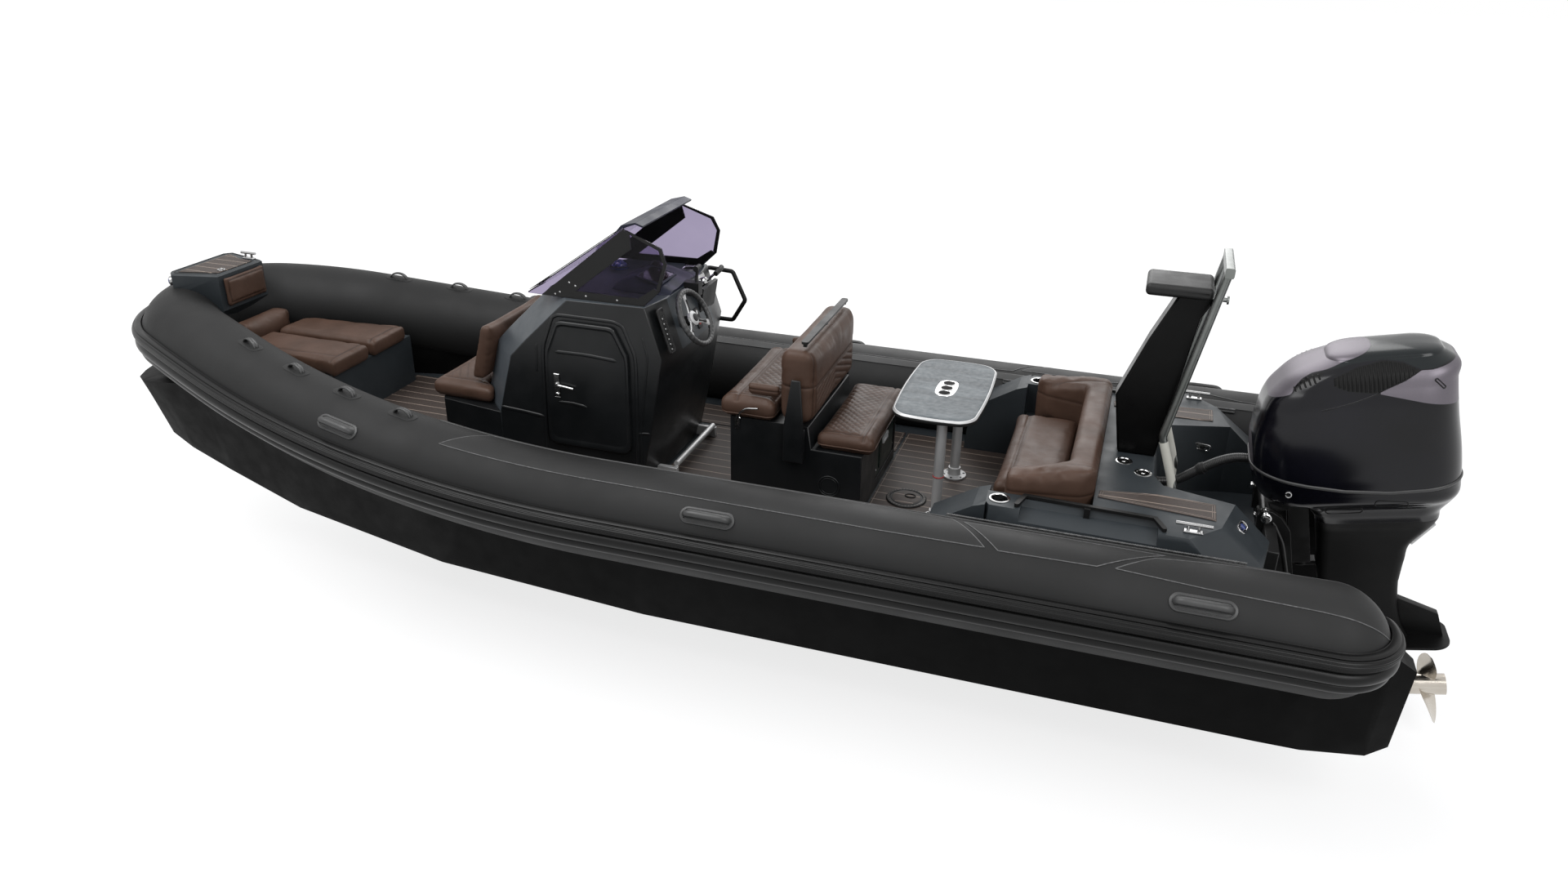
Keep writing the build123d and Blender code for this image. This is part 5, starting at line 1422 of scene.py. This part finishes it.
def engine_skin():
    """The cowl and its lower pan as one skin, with the paint's borders as distances held in attributes."""
    z = np.concatenate([np.linspace(-0.48, 0.20, 120), np.linspace(0.204, 0.82, 150)])
    rows = [body_ring(np.full(len(SX), v)) for v in z]
    top = body_ring(np.full(len(SX), 0.82))
    middle = top.mean(0)
    for share, rise in ((0.99, 0.006), (0.965, 0.013), (0.9, 0.021), (0.8, 0.028), (0.62, 0.034), (0.4, 0.038),
                        (0.2, 0.0395), (0.02, 0.04)):
        ring = middle + (top - middle) * (share, share, 0)
        rows.append(ring + (0, 0, rise))
    low = rows[0].mean(0)
    rows.insert(0, low + (rows[0] - low) * (0.8, 0.8, 0) + (0, 0, -0.006))
    pts = np.stack(rows)
    flat = pts.reshape(-1, 3)
    view = flat[:, [0, 2]]
    # trim and hood are paint; the louvre mark bounds a near-black painted shade behind the slats
    marks = {"trim": np.maximum.reduce([inside_by(view, p) for p in (FRONT_TRIM, REAR_TRIM, FRONT_STRIP)]),
             "hood": inside_by(view, REAR_HOOD),
             "louvre": np.maximum(inside_by(view, LOUVRE), inside_by(view, FRONT_LOUVRE))}
    marks["louvre"] = np.where(np.abs(flat[:, 1]) > 0.06, marks["louvre"], -0.02)
    obj = piece("engine_skin", trimmed(flat), grid_faces(*pts.shape[:2]), cowl_skin, "outboard", slot="cowl_paint",
                replaces=("engine_cowl", "engine_lower_cowl"))
    for key, depth in marks.items():
        a = obj.data.attributes.new(key, "FLOAT", "POINT")
        a.data.foreach_set("value", np.clip(0.5 + depth / 0.05, 0, 1).astype(np.float32))
    cleaned(obj.data)
    obj.data.set_sharp_from_angle(angle=np.radians(45))
    return two_tone(obj, leg_black, lambda n, c: (c[:, 0] - TILT_X) * np.sin(TRIM) + (c[:, 2] - TILT_Z) * np.cos(TRIM)
                    < PAN_FOOT)


engine_skin()


def on_engine(name, path, r, material, flat=1.0, closed=False):
    """A bead of radius r along a path on the engine, turned to where the engine stands, and its twin."""
    n, slot = 10, "cowl_paint"
    if closed:
        one = closed_bar(name + "_port", trimmed(path), r, material, "outboard", n=n, up=(0, 1, 0), flat=flat,
                         slot=slot)
    else:
        side = units(np.cross(units(np.gradient(path, axis=0)), (0, 1.0, 0)))
        c, s = ring_of(n)
        pts = path[:, None] + r * (c[None, :, None] * side[:, None] + flat * s[None, :, None] * np.array((0, 1.0, 0)))
        one = grid(name + "_port", trimmed(pts), material, "outboard", slot=slot)
    return one, mirror_y(name + "_starboard", one, material, "outboard", slot=slot)


def louvres():
    """Upright slats over the louvre fields, whose near-black is painted shade: each runs between the field's lower and
    upper edge.
    """
    for name, field, count, lean in (("louvre", LOUVRE, 20, 0.0), ("front_louvre", FRONT_LOUVRE, 7, 0.3)):
        f = np.array(field, float)
        x0, x1 = f[:, 0].min() + 9, f[:, 0].max() - 9
        slats = []
        dense = np.concatenate([np.linspace(a, b, 40, endpoint=False) for a, b in zip(f, np.roll(f, -1, 0))])
        for k, x in enumerate(np.linspace(x0, x1, count)):
            close = dense[np.abs(dense[:, 0] - x) < 5]
            lo, hi = close[:, 1].min() + 4, close[:, 1].max() - 4
            if hi - lo < 12:
                continue
            z = np.linspace(lo, hi, 9) * MM
            path = body_side(np.full(9, x * MM) + lean * (z - z.mean()), z, 0.0012)
            c, s = ring_of(8)
            pts = (path[:, None] + 0.0052 * c[None, :, None] * np.array((1.0, 0, 0))
                   + 0.004 * s[None, :, None] * np.array((0, 1.0, 0)))
            slats.append(grid(f"{name}_{k}", trimmed(pts), leg_black, "outboard", slot="cowl_paint"))
        one = join_up(name + "_slats_port", slats)
        mirror_y(name + "_slats_starboard", one, leg_black, "outboard", slot="cowl_paint")


louvres()


def seam_height(x):
    """The joint bead's height over the length of the engine, in metres."""
    return np.interp(-x, (-0.062, 0.2, 0.367, 0.571, 0.868, 0.911), (0.285, 0.208, 0.172, 0.154, 0.171, 0.176))


def joint_bead():
    """A rubber bead round the whole skin where the cowl meets its pan: each column's height follows seam_height."""
    z = np.full(len(SX), 0.2)
    for _ in range(5):
        z = seam_height(body_ring(z)[:, 0])
    path = body_ring(z, out=0.001)
    away = units(body_ring(z, out=0.05) - path)
    c, s = ring_of(12)
    pts = (path[:, None] + 0.0055 * c[None, :, None] * away[:, None]
           + 0.009 * s[None, :, None] * np.array((0, 0, 1.0)))
    closed_grid("cowl_joint_bead", trimmed(pts), fitting_rubber, "outboard", slot="cowl_paint")


joint_bead()
ease = np.linspace(0, 1, 30)
on_engine("cowl_crease", body_side(-0.273 - 0.26 * ease, 0.612 + 0.07 * ease - 0.008 * np.sin(np.pi * ease), -0.001),
          0.005, cowl_black, 0.5)
on_engine("trim_edge", body_side(-0.52 - 0.19 * ease, 0.681 + 0.093 * ease, 0.0), 0.003, leg_black, 0.6)
q = np.linspace(0, TAU, 60, endpoint=False)


def slot_outline(name, centre, half, turn, material=leg_black, r=0.003):
    """A raised rounded outline on the skin's side, half = (half length, half height), turned in the side view."""
    ring = rounded_ring(half[0], half[1], half[1] * 0.8, 8)
    u = ring[:, 0] * np.cos(turn) - ring[:, 1] * np.sin(turn)
    v = ring[:, 0] * np.sin(turn) + ring[:, 1] * np.cos(turn)
    on_engine(name, body_side(centre[0] + u, centre[1] + v, 0.0005), r, material, 0.7, closed=True)


slot_outline("latch_recess", (-0.58, 0.08), (0.075, 0.022), 0.12)
slot_outline("air_recess", (-0.37, 0.02), (0.085, 0.02), -0.02)
slot_outline("trim_slot", (-0.79, 0.705), (0.032, 0.006), 0.9, cowl_black, 0.0035)
for side in (1, -1):
    p = body_side(-0.107, 0.2) * (1, side, 1)
    turned(f"cowl_clip_{side + 1}", [(0.017, -0.003), (0.017, 0.003), (0.013, 0.005), (0.006, 0.003), (0.0005, 0.004)],
           trimmed(p - (0, 0, 0.035)), (0, side, 0), polished, "outboard", slot="cowl_paint")
refined("engine_midsection", leg_black, 0.004, "outboard", "engine_metal", 40)
refined("engine_gearcase", leg_black, 0.004, "outboard", "engine_metal", 35)
refined("engine_block", bracket_black, 0.01, "outboard", "engine_metal")
refined("propeller", prop_steel, 0.0008, "propeller", "propeller_steel", 35)
plate = trimmed(np.array([(-0.700, 0.05, -0.262), (-0.812, 0.05, -0.148), (-0.812, -0.05, -0.148),
                          (-0.700, -0.05, -0.262)]) + (0.009, 0, 0.009))
slab("leg_plate", plate, trimmed_way((-0.009, 0, -0.009)), anodised, "outboard",
     0.003, slot="engine_metal")
screw_heads("leg_plate_screws", [trimmed(np.array((-0.776 + 0.058 * k, 0.03 * w, -0.187 - 0.058 * k))) for k in (0, 1)
            for w in (-1, 1)], trimmed_way((-1, 0, -1)), 0.006, leg_black, "outboard")


def tilt_gear():
    """Fittings about the tilt tube: end nuts, hose ends, ribs and bolts on both sides of the bracket."""
    for side in (1, -1):
        turned(f"tilt_nut_{side + 1}", [(0.027, 0), (0.027, 0.018), (0.022, 0.022), (0.02, 0.036), (0.008, 0.04),
                                        (0.0005, 0.04)], (TILT_X, side * 0.2, TILT_Z), (0, side, 0), polished, n=24,
               slot="bracket_paint")
        for k, (x, z, r) in enumerate(((0.06, 0.795, 0.013), (0.1, 0.803, 0.011), (0.112, 0.762, 0.012))):
            turned(f"bracket_fitting_{side + 1}_{k}", [(r, 0), (r, 0.02), (r * 0.75, 0.024), (r * 0.7, 0.034),
                                                       (0.0005, 0.035)], (x, side * 0.168, z), (0, side, 0.15),
                   black_moulding if k == 1 else polished, slot="bracket_paint")
    for k, side in enumerate((1, -1)):
        ridge(f"bracket_rib_{k}", [(0.02, side * 0.19, 0.74), (-0.05, side * 0.19, 0.62), (-0.11, side * 0.19, 0.42)],
              0.012, bracket_black, out=(0, side, 0), slot="bracket_paint")
        bolts = [(x, side * 0.19, z) for x, z in ((0.035, 0.62), (0.025, 0.50), (-0.03, 0.36))]
        screw_heads(f"bracket_bolts_{k}", bolts, (0, side, 0), 0.014, polished, slot="bracket_paint")


tilt_gear()

# ---------------------------------------------------------------- upholstery
PADS = []
SWELL_FRAMES = 20


def read(mesh, what="co"):
    """The mesh's points, or its normals, as an array."""
    src = mesh.vertices if what == "co" else mesh.vertex_normals
    out = np.empty(len(src) * 3)
    src.foreach_get("co" if what == "co" else "vector", out)
    return out.reshape(-1, 3)


def applied(obj):
    """The object's mesh with its modifiers worked in."""
    bpy.context.view_layer.update()
    done = obj.evaluated_get(bpy.context.evaluated_depsgraph_get())
    return bpy.data.meshes.new_from_object(done)


def pad(name, marks, cap=0.014, slim=0.010, voxel=0.013):
    """Starts a padded piece: the CAD pad drawn in by slim, remeshed, smoothed, with air pressure inside."""
    obj = placed(name + "_pad", NODES[name].data.copy())
    cleaned(obj.data, 2e-5)
    p = read(obj.data)
    low, high = p.min(0), p.max(0)
    p = p - read(obj.data, "normal") * slim
    obj.data.vertices.foreach_set("co", p.ravel())
    mesh_mod = obj.modifiers.new("even mesh", "REMESH")
    mesh_mod.mode, mesh_mod.voxel_size = "VOXEL", voxel
    smooth = obj.modifiers.new("soften", "SMOOTH")
    smooth.factor, smooth.iterations = 0.5, 6
    obj.data = applied(obj)
    obj.modifiers.clear()
    stuffing = obj.modifiers.new("stuffing", "CLOTH")
    s = stuffing.settings
    s.use_pressure, s.uniform_pressure_force = True, 4.0
    s.effector_weights.gravity = 0
    s.quality, s.mass = 4, 0.2
    s.tension_stiffness = s.compression_stiffness = 14
    s.shear_stiffness, s.bending_stiffness = 6, 0.4
    stuffing.collision_settings.use_collision = False
    stuffing.point_cache.frame_start, stuffing.point_cache.frame_end = 1, SWELL_FRAMES
    PADS.append((name, obj, low, high, marks, cap))


def line(axis, place):
    """Distance from a seam at one value of an axis."""
    return lambda p: np.abs(p[:, axis] - place)


def frame_seam(a, b, a0, a1, b0, b1):
    """Distance from a rectangular seam in the plane of axes a and b."""
    def gap(p):
        u = np.abs(p[:, a] - (a0 + a1) / 2) - (a1 - a0) / 2
        v = np.abs(p[:, b] - (b0 + b1) / 2) - (b1 - b0) / 2
        return np.where((u > 0) & (v > 0), np.hypot(u, v), np.abs(np.maximum(u, v)))
    return gap


def diamonds(a, b, a0, a1, b0, b1, pitch):
    """Distance from the nearer of two sets of slanting lines inside a rectangle."""
    def gap(p):
        u, v = p[:, a] - a0, p[:, b] - b0
        d = np.minimum(*(pitch * np.abs(((u + w * v) / pitch) % 1 - 0.5) for w in (1, -1))) / np.sqrt(2)
        within = (p[:, a] > a0) & (p[:, a] < a1) & (p[:, b] > b0) & (p[:, b] < b1)
        return np.where(within, d, 1.0)
    return gap


def stripes(a, b, a0, a1, b0, b1, pitch, lean):
    """Distance from parallel leaning lines inside a rectangle, mirrored about b = 0."""
    def gap(p):
        u = (p[:, a] - a0) + lean * np.abs(p[:, b])
        within = (p[:, a] > a0) & (p[:, a] < a1) & (p[:, b] > b0) & (p[:, b] < b1)
        return np.where(within, pitch * np.abs((u / pitch) % 1 - 0.5), 1.0)
    return gap


def piping(name, points, axis, place):
    """A piped seam round a pad: the outermost points near a plane, as radii by angle, carried as a closed bar."""
    near = points[np.abs(points[:, axis] - place) < 0.008]
    i, j = [k for k in range(3) if k != axis]
    uv = near[:, [i, j]]
    centre, half = (uv.max(0) + uv.min(0)) / 2, (uv.max(0) - uv.min(0)) / 2
    n = (uv - centre) / half
    angle, reach = np.arctan2(n[:, 1], n[:, 0]), np.linalg.norm(n, axis=1)
    order = np.argsort(angle)
    angle, reach = angle[order], reach[order]
    reach = np.maximum.reduce([np.roll(reach, k) for k in range(-2, 3)])
    at = np.linspace(-np.pi, np.pi, 260, endpoint=False)
    radius = np.interp(at, angle, reach, period=TAU)
    for _ in range(3):
        radius = (np.roll(radius, 1) + radius * 2 + np.roll(radius, -1)) / 4
    ring = np.full((260, 3), place)
    ring[:, i] = centre[0] + half[0] * radius * np.cos(at)
    ring[:, j] = centre[1] + half[1] * radius * np.sin(at)
    up = np.zeros(3)
    up[axis] = 1
    return closed_bar(name, ring, 0.0042, vinyl, n=8, up=up, slot="upholstery")


def finish_pads():
    """Runs the stuffing for every pad at once, caps its travel, then sews seams and quilting into the finer mesh."""
    scene = bpy.context.scene
    for frame_number in range(1, SWELL_FRAMES + 1):
        scene.frame_set(frame_number)
    graph = bpy.context.evaluated_depsgraph_get()
    swollen = [read(obj.evaluated_get(graph).to_mesh()) for _, obj, *_ in PADS]
    for (name, obj, low, high, marks, cap), full in zip(PADS, swollen):
        rest, normal = read(obj.data), read(obj.data, "normal")
        obj.modifiers.clear()
        move = full - rest
        travel = np.linalg.norm(move, axis=1, keepdims=True)
        move *= np.minimum(1, cap / np.maximum(travel, 1e-9))
        p = rest + move
        p = np.clip(p, low + (-0.004, -0.004, 0.0), high + (0.004, 0.004, 0.006))
        obj.data.vertices.foreach_set("co", p.ravel())
        sub = obj.modifiers.new("fine", "SUBSURF")
        sub.levels = sub.render_levels = 1
        obj.data = applied(obj)
        obj.modifiers.clear()
        p, normal = read(obj.data), read(obj.data, "normal")
        seam, sink = np.zeros(len(p)), np.zeros(len(p))
        for gap, axis, sign, depth, width in marks:
            facing = 1.0 if axis is None else np.clip((normal[:, axis] * sign - 0.45) / 0.25, 0, 1)
            d = gap(p)
            sink = np.maximum(sink, depth * facing * np.exp(-(d / width) ** 2))
            seam = np.maximum(seam, facing * np.exp(-(d / 0.0035) ** 2))
        obj.data.vertices.foreach_set("co", (p - normal * sink[:, None]).ravel())
        a = obj.data.attributes.new("seam", "FLOAT", "POINT")
        a.data.foreach_set("value", (0.8 * seam).astype(np.float32))
        obj.data.shade_smooth()
        settle(obj, vinyl, "root", "upholstery", (name,))
    scene.frame_set(1)


UP, AFT, FORE = (2, 1), (0, -1), (0, 1)
pad("aft_seat_cushion", [(frame_seam(0, 1, 2.225, 2.455, -0.375, 0.375), *UP, 0.006, 0.009),
                         (diamonds(0, 1, 2.235, 2.445, -0.365, 0.365, 0.05), *UP, 0.0035, 0.007),
                         (line(0, 2.205), *UP, 0.008, 0.011)])
pad("helm_seat_cushion", [(line(0, 2.945), *UP, 0.009, 0.012),
                          (frame_seam(0, 1, 2.735, 2.925, -0.36, 0.36), *UP, 0.006, 0.009),
                          (diamonds(0, 1, 2.745, 2.915, -0.35, 0.35, 0.05), *UP, 0.0035, 0.007),
                          (line(1, 0.385), *UP, 0.006, 0.009), (line(1, -0.385), *UP, 0.006, 0.009)])
pad("helm_backrest", [(line(2, 1.235), None, 1, 0.005, 0.008), (line(1, 0.405), *AFT, 0.004, 0.008),
                      (line(1, -0.405), *AFT, 0.004, 0.008),
                      (stripes(2, 1, 1.08, 1.215, -0.37, 0.37, 0.04, 0.35), *AFT, 0.0035, 0.007),
                      (frame_seam(2, 1, 1.07, 1.222, -0.38, 0.38), *AFT, 0.004, 0.007),
                      (diamonds(2, 1, 1.16, 1.36, -0.33, 0.33, 0.05), *FORE, 0.0035, 0.007),
                      (frame_seam(2, 1, 1.15, 1.37, -0.34, 0.34), *FORE, 0.005, 0.008)])
pad("helm_armrests", [(line(2, 1.182), None, 1, 0.003, 0.006)], slim=0.007, voxel=0.009, cap=0.010)
pad("bench_cushion", [(line(0, 1.385), *UP, 0.009, 0.012),
                      (frame_seam(0, 1, 1.10, 1.37, -0.47, 0.47), *UP, 0.004, 0.009)])
pad("bench_backrest", [(line(1, 0.60), *UP, 0.003, 0.008), (line(1, -0.60), *UP, 0.003, 0.008),
                       (line(2, 0.965), None, 1, 0.003, 0.008)], voxel=0.015)
pad("front_seat_cushion", [(frame_seam(0, 1, 4.62, 4.955, -0.31, 0.31), *UP, 0.007, 0.010),
                           (stripes(0, 1, 4.63, 4.945, -0.30, 0.30, 0.055, 0.6), *UP, 0.0035, 0.008)])
pad("front_seat_backrest", [(frame_seam(2, 1, 1.0, 1.24, -0.29, 0.29), *FORE, 0.006, 0.009),
                            (diamonds(2, 1, 1.01, 1.23, -0.28, 0.28, 0.055), *FORE, 0.0035, 0.007)])
for side, tag in ((1, "port"), (-1, "starboard")):
    across = sorted((-side, side * 0.30))
    pad(f"sunpad_cushion_{tag}", [(frame_seam(0, 1, 5.795, 6.6, *across), *UP, 0.004, 0.009),
                                  (line(0, 5.79), *UP, 0.004, 0.009)], voxel=0.015, slim=0.011)
pad("sunpad_roll", [(line(1, 0.19), None, 1, 0.005, 0.008), (line(1, -0.19), None, 1, 0.005, 0.008)])
pad("bow_back_pad", [(frame_seam(2, 1, 1.165, 1.315, -0.16, 0.16), *AFT, 0.004, 0.008)], slim=0.006, voxel=0.009,
    cap=0.008)
finish_pads()
for name, axis, place in (("aft_seat_cushion", 2, 0.90), ("helm_seat_cushion", 2, 1.03), ("bench_cushion", 2, 0.805)):
    piping(name + "_welt", read(bpy.data.objects[name + "_pad"].data), axis, place)

bpy.context.scene.view_settings.view_transform = "Standard"
